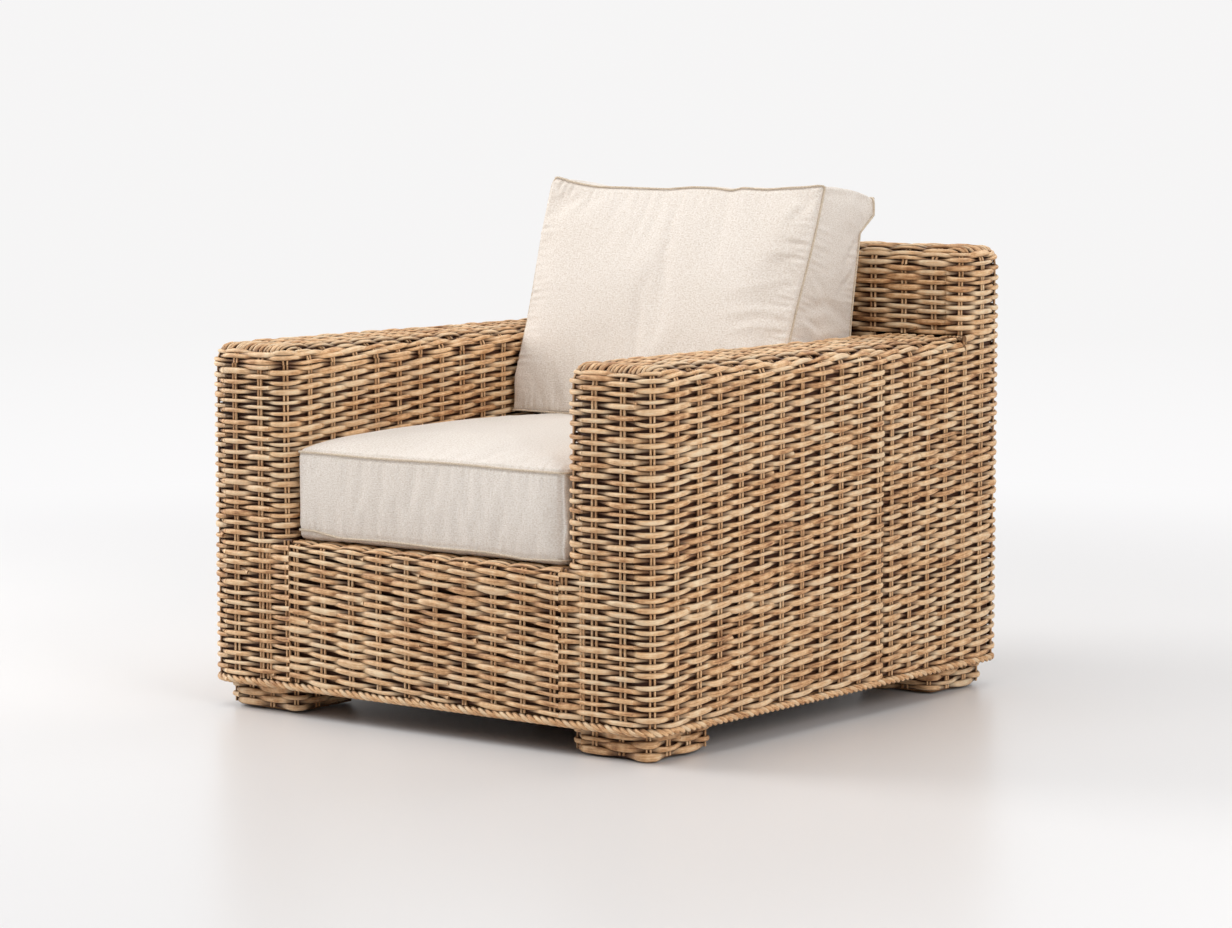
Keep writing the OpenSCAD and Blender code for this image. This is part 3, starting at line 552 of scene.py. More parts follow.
SIDE, ARM = 450.0, 270.0       # outer and inner face of an arm, from the chair's middle
SLAB, JOINT = 356.0, 121.0     # front of the woven back, and rear end of the arm's side
ARM_CAP, ARM_ROWS = 553.3, 31  # upper edge of an arm's upright weave, and its rows
PITCH = (ARM_CAP - LOW) / ARM_ROWS
ARM_STEP = 53.3                # between two pairs of stakes
CLIMB = 1.4                    # how far a strand climbs as it comes forward
LEVEL = 0.86                   # girth of the level strands against the climbing ones
QUARTER = CORNER * math.pi / 2
FLAT = SIDE - ARM - 2 * CORNER
INNER, OUTER = SLAB - FRONT - CORNER, JOINT - FRONT - CORNER
ARM_RUN = INNER + QUARTER + FLAT + QUARTER + OUTER


def within(found, span):
    return found[(found > span[0] + 2) & (found < span[1] - 2)]


def arm_stakes(edge=None):
    """Places of the stakes round an arm. One of them moves to an edge, where there is one."""
    middle = INNER + QUARTER + FLAT / 2
    found = middle + ARM_STEP * (np.arange(-17, 14) - 0.5)
    found = np.r_[found[0] - ARM_STEP, found, found[-1] + ARM_STEP]
    if edge:
        found[np.argmin(abs(found - (middle - 1.5 * ARM_STEP)))] = edge
    return found


arm_rows = LOW + PITCH * (np.arange(ARM_ROWS) + 0.5)
for hand, seed in (("right", 11), ("left", 12)):
    draw = np.random.default_rng(seed)
    right = hand == "right"
    turned = [("go", INNER), ("turn", 90, CORNER), ("go", FLAT), ("turn", 90, CORNER),
              ("go", OUTER)]
    if right:
        upper = Outline((ARM, SLAB), -90, turned)
        lower = Outline((ARM + CORNER - INNER - QUARTER, FRONT), 0,
                        [("go", INNER + QUARTER + FLAT), ("turn", 90, CORNER), ("go", OUTER)])
    else:
        upper = Outline((-SIDE, JOINT), -90, turned[::-1])
        lower = Outline((-SIDE, JOINT), -90,
                        [("go", OUTER), ("turn", 90, CORNER), ("go", INNER + QUARTER + FLAT)])

    def way(*marks):
        """Distances along the line from its inner end, whichever way it is walked."""
        return sorted(m if right else ARM_RUN - m for m in marks)

    side_piece, front_piece, inner_piece = Strands(), Strands(), Strands()
    cut_in, cut_out = INNER + QUARTER, INNER + QUARTER + FLAT
    inner_span, front_span = way(0, cut_in), way(cut_in, cut_out)
    side_span, low_span = way(cut_out, ARM_RUN), way(cut_in - CORNER, cut_out)
    low_side = way(cut_in - CORNER, cut_in)

    def lean(u, right=right):
        s = u if right else ARM_RUN - u
        return np.interp(s, [INNER - 10, INNER + QUARTER, cut_out, cut_out + QUARTER],
                         [CLIMB, 0, 0, CLIMB])

    def size(u, lean=lean):
        return LEVEL + (1 - LEVEL) * lean(u) / CLIMB

    stakes_up, stakes_low = arm_stakes(), arm_stakes(cut_in - CORNER + 6)
    if not right:
        stakes_up, stakes_low = (ARM_RUN - stakes_up)[::-1], (ARM_RUN - stakes_low)[::-1]
    joint = ARM_RUN if right else 0.0
    weave([(*low_span, front_piece), (*side_span, side_piece)], wall(lower), stakes_low,
          arm_rows[arm_rows < APRON_TOP], PITCH, draw, lean=lean, size=size, groove=(joint,))
    weave([(*inner_span, inner_piece), (*front_span, front_piece), (*side_span, side_piece)],
          wall(upper), stakes_up, arm_rows[arm_rows > APRON_TOP], PITCH, draw, lean=lean,
          size=size, groove=(joint,))
    for strands, line, stakes, span, points, low, high in (
            (side_piece, upper, stakes_up, side_span, 60, LOW, ARM_CAP),
            (front_piece, upper, stakes_up, front_span, 8, LOW, ARM_CAP),
            (front_piece, lower, stakes_low, low_side, 4, LOW, APRON_TOP),
            (inner_piece, upper, stakes_up, inner_span, 60, APRON_TOP + RISER, ARM_CAP)):
        plant(strands, wall(line), within(stakes, span), low, high, draw)
        strands.lining(wall(line), np.linspace(*span, points), [low, high], SHADE_SHEET_DEPTH)
    for title, strands in (("side", side_piece), ("front", front_piece),
                           ("inner", inner_piece)):
        nail_on(strands, "arm_%s_weave_%s" % (title, hand))


# ------------------------------------------------------------------ woven back
# Woven rattan, nailed to the rear posts and the back's own. It starts at a joint in each
# side and goes round the rear corners. Above the arms it closes into a ring round the top of
# the back, with plain rows across its front.

REAR = 483.0                   # rear face of the chair
BACK_CAP, ARM_TOP = 698.3, 585.3   # upper edge of the back's upright weave; top of the arms
SLAB_ROWS, SHARED_ROWS = 40, 33    # all the rows of the back, and those under its ring
REAR_FLAT = 2 * (SIDE - CORNER)
WRAP = REAR - JOINT - CORNER          # from the joint to the rear corner
REAR_RUN = 2 * WRAP + 2 * QUARTER + REAR_FLAT
rear_line = Outline((SIDE, JOINT), 90, [("go", WRAP), ("turn", 90, CORNER), ("go", REAR_FLAT),
                                        ("turn", 90, CORNER), ("go", WRAP)])
STEP = REAR_RUN / 30           # between two pairs of stakes
rear_stakes = STEP * (np.arange(-1, 32) - 0.5)

SLAB_SIDE = REAR - SLAB - 2 * CORNER
RING_RUN = 2 * REAR_FLAT + 2 * SLAB_SIDE + 4 * QUARTER
ring_line = Outline((0, REAR), 180, [("go", REAR_FLAT / 2), ("turn", 90, CORNER)] + [
    move for flat in (SLAB_SIDE, REAR_FLAT, SLAB_SIDE)
    for move in (("go", flat), ("turn", 90, CORNER))] + [("go", REAR_FLAT / 2)])
rear_half = STEP * (np.arange(-1, 11) + 0.5)
FACE_EDGE = 25.7               # from the end of the front's flat to its outermost stakes
FACE_STEP = (REAR_FLAT / 2 - FACE_EDGE) / 6.5
face = FACE_STEP * (np.arange(-7, 7) + 0.5)
ring_stakes = np.r_[rear_half, RING_RUN / 2 + face, (RING_RUN - rear_half)[::-1]]
ring_edges = np.cumsum([0, REAR_FLAT / 2, 2 * QUARTER + SLAB_SIDE, REAR_FLAT,
                        2 * QUARTER + SLAB_SIDE, REAR_FLAT / 2])

draw = np.random.default_rng(21)
outer, face_piece, left_side, right_side = Strands(), Strands(), Strands(), Strands()
rear_cuts = [0, WRAP + QUARTER, WRAP + QUARTER + REAR_FLAT, REAR_RUN]
back_rows = LOW + PITCH * (np.arange(SLAB_ROWS) + 0.5)
past_arm = SLAB - JOINT
for rows, start, groove in ((back_rows[:ARM_ROWS], 0, (0.0, REAR_RUN)),
                            (back_rows[ARM_ROWS:SHARED_ROWS], past_arm, ())):
    weave([(start, rear_cuts[1], right_side), (rear_cuts[1], rear_cuts[2], outer),
           (rear_cuts[2], REAR_RUN - start, left_side)], wall(rear_line), rear_stakes, rows,
          PITCH, draw, lean=lambda u: np.full_like(u, CLIMB), groove=groove)


def ring_side(u):
    """1 round the rear of the ring and its corners, and 0 across its front."""
    s = np.minimum(u, RING_RUN - u)
    return np.interp(s, [REAR_FLAT / 2 + QUARTER, ring_edges[2] - QUARTER / 2], [1, 0])


ring_pieces = list(zip(ring_edges[:-1], ring_edges[1:],
                       (outer, left_side, face_piece, right_side, outer)))
weave(ring_pieces, wall(ring_line), ring_stakes, back_rows[SHARED_ROWS:], PITCH, draw,
      lean=lambda u: CLIMB * ring_side(u))
face_line = Outline((-ARM, SLAB), 0, [("go", 2 * ARM)])
face_stakes = ARM + FACE_STEP * (np.arange(-6, 6) + 0.5)
weave([(0, 2 * ARM, face_piece)], wall(face_line), face_stakes,
      back_rows[(back_rows > APRON_TOP) & (np.arange(SLAB_ROWS) < SHARED_ROWS)], PITCH, draw)

left_arm = REAR_RUN - past_arm
for strands, line, found, start, end, low, high in (
        (right_side, rear_line, rear_stakes, 0, past_arm, LOW, ARM_CAP),
        (right_side, rear_line, rear_stakes, past_arm, past_arm + CORNER, LOW, ARM_TOP),
        (right_side, rear_line, rear_stakes, past_arm + CORNER, rear_cuts[1], LOW, BACK_CAP),
        (outer, rear_line, rear_stakes, rear_cuts[1], rear_cuts[2], LOW, BACK_CAP),
        (left_side, rear_line, rear_stakes, rear_cuts[2], left_arm - CORNER, LOW, BACK_CAP),
        (left_side, rear_line, rear_stakes, left_arm - CORNER, left_arm, LOW, ARM_TOP),
        (left_side, rear_line, rear_stakes, left_arm, REAR_RUN, LOW, ARM_CAP),
        (left_side, ring_line, ring_stakes, ring_edges[2] - QUARTER, ring_edges[2], ARM_TOP,
         BACK_CAP),
        (right_side, ring_line, ring_stakes, ring_edges[3], ring_edges[3] + QUARTER, ARM_TOP,
         BACK_CAP),
        (face_piece, ring_line, RING_RUN / 2 + face[[0, 1, -2, -1]], 0, RING_RUN, ARM_TOP,
         BACK_CAP),
        (face_piece, face_line, face_stakes, 0, 2 * ARM, APRON_TOP + RISER, BACK_CAP)):
    plant(strands, wall(line), within(found, (start, end)), low, high, draw)

for strands, line, start, end, low, high in (
        (right_side, rear_line, 0, rear_cuts[1], LOW, ARM_CAP),
        (right_side, rear_line, past_arm, rear_cuts[1], ARM_CAP, ARM_TOP),
        (right_side, ring_line, ring_edges[3], ring_edges[4], ARM_TOP, BACK_CAP),
        (outer, rear_line, rear_cuts[1], rear_cuts[2], LOW, BACK_CAP),
        (left_side, rear_line, rear_cuts[2], REAR_RUN, LOW, ARM_CAP),
        (left_side, rear_line, rear_cuts[2], REAR_RUN - past_arm, ARM_CAP, ARM_TOP),
        (left_side, ring_line, ring_edges[1], ring_edges[2], ARM_TOP, BACK_CAP),
        (face_piece, face_line, 0, 2 * ARM, APRON_TOP + RISER, ARM_TOP),
        (face_piece, ring_line, ring_edges[2], ring_edges[3], ARM_TOP, BACK_CAP)):
    strands.lining(wall(line), np.linspace(start, end, 48), [low, high], SHADE_SHEET_DEPTH)

# Short strands carry the top of each arm on to the rounded corner of the back.
SHELF_Z, SHELF_WIDE, SHELF_THICK = 581.5, 3.9, 3.1     # their height and half sizes
turn = 2 * math.pi * np.arange(8) / 8
for strands, hand in ((right_side, 1), (left_side, -1)):
    for x in (416.0, 423.5, 431.0, 438.5):
        lap = SLAB + CORNER - math.sqrt(CORNER ** 2 - (x - SIDE + CORNER) ** 2) + 4
        y = np.linspace(SLAB - 4, lap, 5)
        ring = np.stack([hand * (x + SHELF_WIDE * np.cos(turn)), 0 * turn,
                         SHELF_Z + SHELF_THICK * np.sin(turn)], -1)[::hand]
        path = np.stack([0 * y, y, 0.6 * np.sin(y)], -1)
        strands.tube(ring + path[:, None, :], draw.random())
for strands, node in (
        (right_side, "rear_side_weave_right"), (left_side, "rear_side_weave_left"),
        (outer, "back_outer_weave"), (face_piece, "back_inner_weave")):
    nail_on(strands, node)


# ------------------------------------------------------------------ woven tops
# The rattan rows of each arm top run from back to front, over the rounded edge, and tuck
# under a thick double strand that goes round the arm. The top of the back is made the same
# way, with its rows from side to side.

def crown(middle, half_u, half_v, ahead, top):
    """Place on a rounded top. Rows run along u, the unit vector ahead, and v is to its left."""
    def bend(t, half):
        flat = half - EDGE
        over = np.clip((abs(t) - flat) / EDGE, 0, math.pi / 2)
        return np.sign(t) * (np.minimum(abs(t), flat) + EDGE * np.sin(over))

    def inset(u, v):
        a, b = bend(u, half_u), bend(v, half_v)
        qa, qb = abs(a) - half_u + CORNER, abs(b) - half_v + CORNER
        away = np.hypot(np.maximum(qa, 0), np.maximum(qb, 0)) + 1e-9
        corner = (qa > 0) & (qb > 0)
        out_a = np.where(corner, np.maximum(qa, 0) / away, qa > qb) * np.sign(a)
        out_b = np.where(corner, np.maximum(qb, 0) / away, qa <= qb) * np.sign(b)
        far = np.where(corner, away, np.maximum(qa, qb))
        return a, b, CORNER - far, out_a, out_b

    def place(u, v, depth):
        a, b, delta, out_a, out_b = inset(u, v)
        level = np.clip((EDGE - delta) / EDGE, 0, 1)
        rise = np.sqrt(1 - level ** 2)
        a = a - out_a * level * depth
        b = b - out_b * level * depth
        x = middle[0] + a * ahead[0] - b * ahead[1]
        y = middle[1] + a * ahead[1] + b * ahead[0]
        return np.stack([x, y, top - EDGE + (EDGE - depth) * rise], -1)

    return place, lambda u, v: inset(u, v)[2]


def last_inside(inset, v, start, reach, least):
    """How far a row runs from start before the edge comes nearer than least."""
    u = np.linspace(start, reach, 2000)
    close = np.nonzero(inset(u, np.full_like(u, v)) < least)[0]
    return u[close[0]] if len(close) else reach


CURB, CURB_PITCH = 21.5, 6.0   # the double strand's distance up the edge, and its width
TURN = EDGE * math.pi / 2
ROWS_FROM = 0.80       # angle up the edge at which the lengthwise rows start
TOP_PITCH = 7.9        # between the lengthwise rows
UNDER = 6.6            # how near to the edge a row's tucked end comes


def rim_rows(strands, rim, run, stakes, foot, draw, twist, rough):
    """The rounded edge from its foot up: a row, the double strand and the stakes' ends."""
    weave([(0, run, strands)], rim, stakes, [foot + PITCH / 2], PITCH, draw,
          lean=lambda u: CLIMB * twist(u), rough=rough[0])
    weave([(0, run, strands)], rim, stakes, [foot + CURB], CURB_PITCH, draw, twist=twist,
          half=4.6, thick=3.4, swing=2.6, rough=rough[1])
    plant(strands, rim, within(stakes, (0, run)), foot, foot + 28, draw, step=6.0)


def top_rows(strands, place, inset, half_v, reach, start, stakes, draw):
    """Rows along a top from start, or as far back as ahead where that is None."""
    across = half_v - EDGE + EDGE * (math.pi / 2 - ROWS_FROM)
    n = int(round(2 * across / TOP_PITCH))
    for i in range(n):
        v = across * (2 * (i + 0.5) / n - 1)
        end = last_inside(inset, v, 0, reach, UNDER)
        # The negative lift on these rows gives a top more painted shade than its depth calls
        # for, which darkens the whole top.
        row([(-end if start is None else start, end, strands)], place, stakes, v, 0.0, i % 2,
            draw, half=3.4, thick=2.9, rough=1.7, tuck=end, bared=-2.2)


def top_bars(strands, place, stakes, over, points, draw):
    """Pairs of short stakes across a top, which its rows go over and under."""
    for u in stakes:
        for side in (-APART, APART):
            v = np.linspace(-over, over, points)
            strands.lay(place, u + side + 0 * v, v, SKIN / 2, STAKE, STAKE, draw.random(),
                        sides=6)


def top_shade_sheets(strands, rim, run, points, foot, place, ahead, aside):
    """Dark sheets of painted shade under the rounded edge and under the level middle of a top.
    """
    strands.lining(rim, np.linspace(0, run, points), foot + np.linspace(0, TURN + 8, 7),
                   SHADE_SHEET_DEPTH)
    strands.lining(place, np.linspace(*ahead, 12), [aside, -aside], SHADE_SHEET_DEPTH)


RIM = ARM_CAP + RISER
ARM_REACH, ARM_HALF = 525.0, (SIDE - ARM) / 2      # half sizes of the rounded form
BAR_STEP = 52.0                # between two pairs of the short stakes across it
for hand, seed, x_side in (("right", 31, 1), ("left", 32, -1)):
    draw = np.random.default_rng(seed)
    strands = Strands()
    start = (ARM, SLAB - RISER) if x_side > 0 else (-SIDE, SLAB - RISER)
    line = Outline(start, -90, [("go", INNER - RISER), ("turn", 90, CORNER), ("go", FLAT),
                                ("turn", 90, CORNER), ("go", INNER - RISER)])
    run = line.length
    stakes = np.r_[arm_stakes()[:-1], ARM_RUN + STEP * (np.arange(6) + 0.5)]
    if x_side < 0:
        stakes = (run - stakes)[::-1]

    def beside(u, run=run):
        """0 across the front of the arm and 1 along its sides."""
        return np.interp(abs(u - run / 2), [FLAT / 2, FLAT / 2 + QUARTER], [0, 1])

    rim = wall(line, RIM)
    rim_rows(strands, rim, run, stakes, RIM, draw, beside, (1.0, 1.6))
    middle = (x_side * (SIDE + ARM) / 2, FRONT + ARM_REACH)
    place, inset = crown(middle, ARM_REACH, ARM_HALF, (0, -1), ARM_TOP)
    rear_end, front_end = middle[1] - SLAB + RISER, ARM_REACH - EDGE
    bars_at = front_end - 20 - BAR_STEP * np.arange(-1, 17)[::-1]
    top_rows(strands, place, inset, ARM_HALF, ARM_REACH, rear_end, bars_at, draw)
    top_bars(strands, place, within(bars_at, (rear_end, front_end - 10)), 58.0 + EDGE * 0.7,
             24, draw)
    top_shade_sheets(strands, rim, run, 70, RIM, place, (rear_end, front_end - 8), 50.0)
    nail_on(strands, "arm_top_weave_" + hand)

draw = np.random.default_rng(33)
strands = Strands()
RIDGE, SLAB_HALF = BACK_CAP + RISER, (REAR - SLAB) / 2
BACK_BAR_STEP = 58.8
rim = wall(ring_line, RIDGE)
rim_rows(strands, rim, RING_RUN, ring_stakes, RIDGE, draw, ring_side, (1.5, 1.8))
place, inset = crown((0, REAR - SLAB_HALF), SIDE, SLAB_HALF, (1, 0), RIDGE + EDGE)
bars_at = BACK_BAR_STEP * (np.arange(-8, 8) + 0.5)
end = SIDE - EDGE
top_rows(strands, place, inset, SLAB_HALF, SIDE, None, bars_at, draw)
top_bars(strands, place, within(bars_at, (-end, end)), 50, 20, draw)
top_shade_sheets(strands, rim, RING_RUN, 90, RIDGE, place, (8 - end, end - 8), 24.0)
nail_on(strands, "back_top_weave")


# ------------------------------------------------------------------ rope border
# Three strands of rattan twisted into a rope, which is nailed along the bottom edge all
# round the chair and hides the ends of the weave.

ROPE, ROPE_Z = 14.0, 48.0      # thickness, and height of its middle
LAY = 40.0                     # length of one twist
ROPE_STRAND, ROPE_SPREAD = 3.7, 3.2    # radius of a strand, and of the circle they turn on
rope_line = Outline((CORNER - SIDE, FRONT), 0, [
    move for flat in (REAR_FLAT, 2 * (REAR - CORNER)) * 2
    for move in (("go", flat), ("turn", 90, CORNER))])
draw = np.random.default_rng(51)
start = 0.0
turns = round(rope_line.length / LAY)
for name, flat in zip(("front", "right", "rear", "left"), (REAR_FLAT, 2 * (REAR - CORNER)) * 2):
    end = start + flat + QUARTER
    strands = Strands()
    u = np.r_[np.arange(start, end - 1, 4.0), end]
    for strand in range(3):
        angle = 2 * math.pi * (turns * u / rope_line.length + strand / 3)
        strands.lay(wall(rope_line), u, ROPE_Z + ROPE_SPREAD * np.cos(angle),
                    ROPE / 2 - ROPE_SPREAD * np.sin(angle), ROPE_STRAND, ROPE_STRAND,
                    draw.random())
    nail_on(strands, "rope_border_" + name, "rope_border_run_" + name)
    start = end


# ------------------------------------------------------------------ seat cushion
# A foam block in fibre wadding inside a boxed linen cover. Its top and bottom panels are
# sewn to the boxing over a thin welt, and the filling crowns the top between the seams.

CUSHION_CORNER = 9.0
VOXEL = 0.006                  # size of the cloth's mesh, in metres
SETTLE = 20                    # steps in which the blown-up cloth settles
BESIDE, DENT = 3.2, 2.6        # how far beside a seam the cloth sinks, and the dent's width
PUCKER, GATHER = 17.0, 90.0    # length of the puckers along a seam, and of their groups
STATIONS = np.sin(np.linspace(-1, 1, 73) * math.pi / 2)    # sections from side to side


def fullness(t, power):
    """From 1 in the middle of a panel to 0 at its seams."""
    return 1 - np.minimum(1, abs(t)) ** power


def corner_in(u, half):
    """How far a rounded corner draws a face back at station u of a half width."""
    x = np.clip(abs(u) * half - half + CUSHION_CORNER, 0, CUSHION_CORNER)
    return CUSHION_CORNER - np.sqrt(CUSHION_CORNER ** 2 - x ** 2)


def shell(name, section, side_x):
    """Closed mesh over the sections of a cushion. side_x places its side panels."""
    loops = [section(u) for u in STATIONS]
    for end, u in ((0, -1.0), (len(loops), 1.0)):
        rim = section(u)
        middle = (rim.min(0) + rim.max(0)) / 2
        inner = []
        for share in (0.9, 0.75, 0.6, 0.45, 0.3, 0.15):
            loop = middle + (rim - middle) * share
            loop[:, 0] = side_x(u, loop[:, 1], loop[:, 2])
            inner.append(loop)
        loops[end:end] = inner if end else inner[::-1]
    loops = np.array(loops)
    n, m = loops.shape[:2]
    points = np.concatenate([loops.reshape(-1, 3), [loops[0].mean(0), loops[-1].mean(0)]])
    at = np.arange(n * m).reshape(n, m)
    after = np.roll(at, -1, axis=1)
    quads = np.stack([at[:-1], at[1:], after[1:], after[:-1]], -1).reshape(-1, 4).tolist()
    fans = [(n * m, at[0, j], after[0, j]) for j in range(m)]
    fans += [(n * m + 1, after[-1, j], at[-1, j]) for j in range(m)]
    mesh = bpy.data.meshes.new(name)
    mesh.from_pydata((points * MM).tolist(), [], quads + [tuple(map(int, f)) for f in fans])
    made = bpy.data.objects.new(name, mesh)
    bpy.context.scene.collection.objects.link(made)
    return made


def alone(piece):
    bpy.ops.object.select_all(action="DESELECT")
    piece.select_set(True)
    bpy.context.view_layer.objects.active = piece


def read(parts, what):
    """One vector from each vertex or face of a mesh."""
    found = np.empty(len(parts) * 3)
    parts.foreach_get(what, found)
    return found.reshape(-1, 3)


def corners(piece):
    return read(piece.data.vertices, "co") / MM


def reshape(piece, points):
    piece.data.vertices.foreach_set("co", (points * MM).ravel())
    piece.data.update()


def length_along(seam):
    return np.r_[0, np.cumsum(np.linalg.norm(np.diff(seam, axis=0), axis=1))]


def resample(seam, run, steps):
    return np.stack([np.interp(steps, run, seam[:, k]) for k in range(3)], -1)


def along_seams(points, seams):
    """Distance of each point from the nearest seam, and how far along that seam it is."""
    marks, runs = [], []
    for seam in seams:
        run = length_along(seam)
        steps = np.arange(0, run[-1], 2.0)
        marks.append(resample(seam, run, steps))
        runs.append(steps + 5000.0 * len(runs))
    marks, runs = np.concatenate(marks), np.concatenate(runs)
    tree = KDTree(len(marks))
    for i, mark in enumerate(marks):
        tree.insert(mark, i)
    tree.balance()
    near = [tree.find(p) for p in points]
    return np.array([n[2] for n in near]), runs[[n[1] for n in near]]


def swell(piece, seams, pressure, most, slack):
    """Remeshes a cover evenly, holds it along its seams and lets its filling press it out."""
    alone(piece)
    piece.data.remesh_voxel_size = VOXEL
    bpy.ops.object.voxel_remesh()
    before = corners(piece)
    near, _ = along_seams(before, seams)
    sewn = piece.vertex_groups.new(name="sewn")
    sewn.add(np.nonzero(near < 0.8 * VOXEL / MM)[0].tolist(), 1.0, "REPLACE")
    cloth = piece.modifiers.new("cloth", "CLOTH")
    cloth.settings.quality = 5
    cloth.settings.mass = 0.3
    cloth.settings.vertex_group_mass = "sewn"
    cloth.settings.use_pressure = True
    cloth.settings.uniform_pressure_force = pressure
    cloth.settings.shrink_min = -slack
    cloth.settings.effector_weights.gravity = 0.0
    cloth.collision_settings.use_collision = False
    cloth.collision_settings.use_self_collision = False
    scene = bpy.context.scene
    for step in range(SETTLE):
        scene.frame_set(step + 1)
    bpy.ops.object.modifier_apply(modifier="cloth")
    scene.frame_set(1)
    moved = corners(piece) - before
    size = np.linalg.norm(moved, axis=1)[:, None] + 1e-9
    reshape(piece, before + moved * np.minimum(1, most / size))
    piece.vertex_groups.clear()
    finer = piece.modifiers.new("finer", "SUBSURF")
    finer.levels = finer.render_levels = 1
    bpy.ops.object.modifier_apply(modifier="finer")
    piece.data.polygons.foreach_set("use_smooth", np.ones(len(piece.data.polygons), bool))


def hills(draw, length, count=9):
    """Smooth random rise and fall along a seam, with waves about as long as given."""
    waves = [(draw.uniform(0.6, 1.7) * 2 * math.pi / length, draw.uniform(0, 6.3))
             for _ in range(count)]
    return lambda s: sum(np.sin(k * s + a) for k, a in waves) / math.sqrt(count / 2)


def gather(piece, seams, draw, amount=0.35, reach=9.0, groove=1.5):
    """Sinks the cloth beside its seams and gathers it in small puckers across them."""
    points, normals = corners(piece), read(piece.data.vertices, "normal")
    near, run = along_seams(points, seams)
    ripple, swing = hills(draw, PUCKER), hills(draw, GATHER)
    height = -groove * np.exp(-((near - BESIDE) / DENT) ** 2)
    puckers = ripple(run) * (0.65 + 0.35 * swing(run)) * near / 4 * np.exp(-near / reach)
    reshape(piece, points + normals * (height + amount * puckers)[:, None])


def fold(piece, way, width, depth, ridge=0.5):
    """Presses one crease into the cloth along a way of points, fading out at its ends."""
    points, normals = corners(piece), read(piece.data.vertices, "normal")
    way = np.array(way, float)
    best = np.full(len(points), 1e9)
    side, share = np.zeros(len(points)), np.zeros(len(points))
    lengths = np.linalg.norm(np.diff(way, axis=0), axis=1)
    done = 0.0
    for a, b, size in zip(way[:-1], way[1:], lengths):
        t = np.clip(((points - a) @ (b - a)) / size ** 2, 0, 1)
        away = points - a - t[:, None] * (b - a)
        far = np.linalg.norm(away, axis=1)
        closer = far < best
        best = np.where(closer, far, best)
        beyond = np.einsum("ij,ij->i", np.cross(b - a, normals) / size, away)
        side = np.where(closer, beyond, side)
        share = np.where(closer, (done + t * size) / lengths.sum(), share)
        done += size
    fade = np.sin(math.pi * np.clip(share, 0.02, 0.98)) ** 0.8
    wide = width * (0.5 + 0.5 * share)
    height = -depth * np.exp(-(best / wide) ** 2)
    height += depth * ridge * np.exp(-((side - 1.7 * wide) / wide) ** 2) * (best < 4 * wide)
    reshape(piece, points + normals * (height * fade)[:, None])


def welt(name, seams, radius, material, body):
    """Piping: a cord in a strip of the cover's cloth, sewn into each seam."""
    strands = Strands()
    for seam in seams:
        run = length_along(seam)
        path = resample(seam, run, np.linspace(0, run[-1], int(run[-1] / 5)))
        ahead = np.gradient(path, axis=0)
        ahead /= np.linalg.norm(ahead, axis=1)[:, None]
        out = np.cross(ahead[0], (0.3, 0.4, 0.87))
        rings = []
        turn = 2 * math.pi * np.arange(10) / 10
        for at, tangent in zip(path, ahead):
            out = out - tangent * (out @ tangent)
            out = out / np.linalg.norm(out)
            up = np.cross(tangent, out)
            rings.append(at + radius * (np.outer(np.cos(turn), out)
                                        + np.outer(np.sin(turn), up)))
        strands.tube(np.array(rings), 0.5)
    made = strands.piece(name, material)
    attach(made, body)


def cloth_map(piece, lean=0.0):
    """Lays the weave flat on each panel: a map in metres, chosen by the way a face points."""
    mesh = piece.data
    loops, sizes = np.empty(len(mesh.loops), int), np.empty(len(mesh.polygons), int)
    mesh.loops.foreach_get("vertex_index", loops)
    mesh.polygons.foreach_get("loop_total", sizes)
    c, s = math.cos(lean), math.sin(lean)

    def upright(v):
        return np.stack([v[:, 0], c * v[:, 1] - s * v[:, 2], s * v[:, 1] + c * v[:, 2]], -1)

    at = upright(corners(piece) * MM)[loops]
    faces = upright(read(mesh.polygons, "normal"))
    facing = np.repeat(np.argmax(abs(faces), axis=1), sizes)
    flat = np.where((facing == 0)[:, None], at[:, [1, 2]],
                    np.where((facing == 1)[:, None], at[:, [0, 2]], at[:, [0, 1]]))
    mesh.uv_layers.new(name="cloth").data.foreach_set("uv", flat.ravel())


# Linen-look upholstery cloth: slubby warp and weft, a fine twill that catches the light and
# a slight unevenness of tone.
NAP = dict(Roughness=0.9, Specular_IOR_Level=0.2, Sheen_Weight=0.25, Sheen_Roughness=0.5)
linen = Finish("cream linen", **NAP)
weft = linen.node("UVMap", {"uv_map": "cloth"})
slub_across = linen.node("TexNoise", None, linen.scaled(weft, 110.0, 560.0, 1.0), Scale=1.0,
                         Detail=2.0, Roughness=0.6)
slub_down = linen.node("TexNoise", None, linen.scaled(weft, 560.0, 110.0, 1.0), Scale=1.0,
                       Detail=2.0, Roughness=0.6)
twill = linen.node("TexNoise", None, linen.scaled(weft, 310.0, 560.0, 1.0), Scale=1.0,
                   Detail=1.0, Roughness=0.5)
cloudy = linen.node("TexNoise", None, linen.place(), Scale=5.0, Detail=1.0)
thread = slub_across * 0.5 + slub_down * 0.5
tone_of = thread * 0.40 + twill * 0.50 + cloudy * 0.10
cream = linen.ramp(tone_of, (0.38, (0.840, 0.788, 0.735)), (0.50, (0.898, 0.860, 0.818)),
                   (0.62, (0.945, 0.915, 0.885)))
linen.wear(cream, None, thread * 0.4 + twill * 0.6, 0.4, 0.0009)

# The welt is the cover's linen painted darker: painted shade for the shadow along the seams.
welting = Finish("linen welt", **NAP)
wound = welting.node("TexNoise", None, welting.place(), Scale=420.0, Detail=3.0)
welting.wear(welting.ramp(wound, (0.35, (0.76, 0.69, 0.60)), (0.65, (0.86, 0.80, 0.72))),
             None, wound, 0.3, 0.0005)

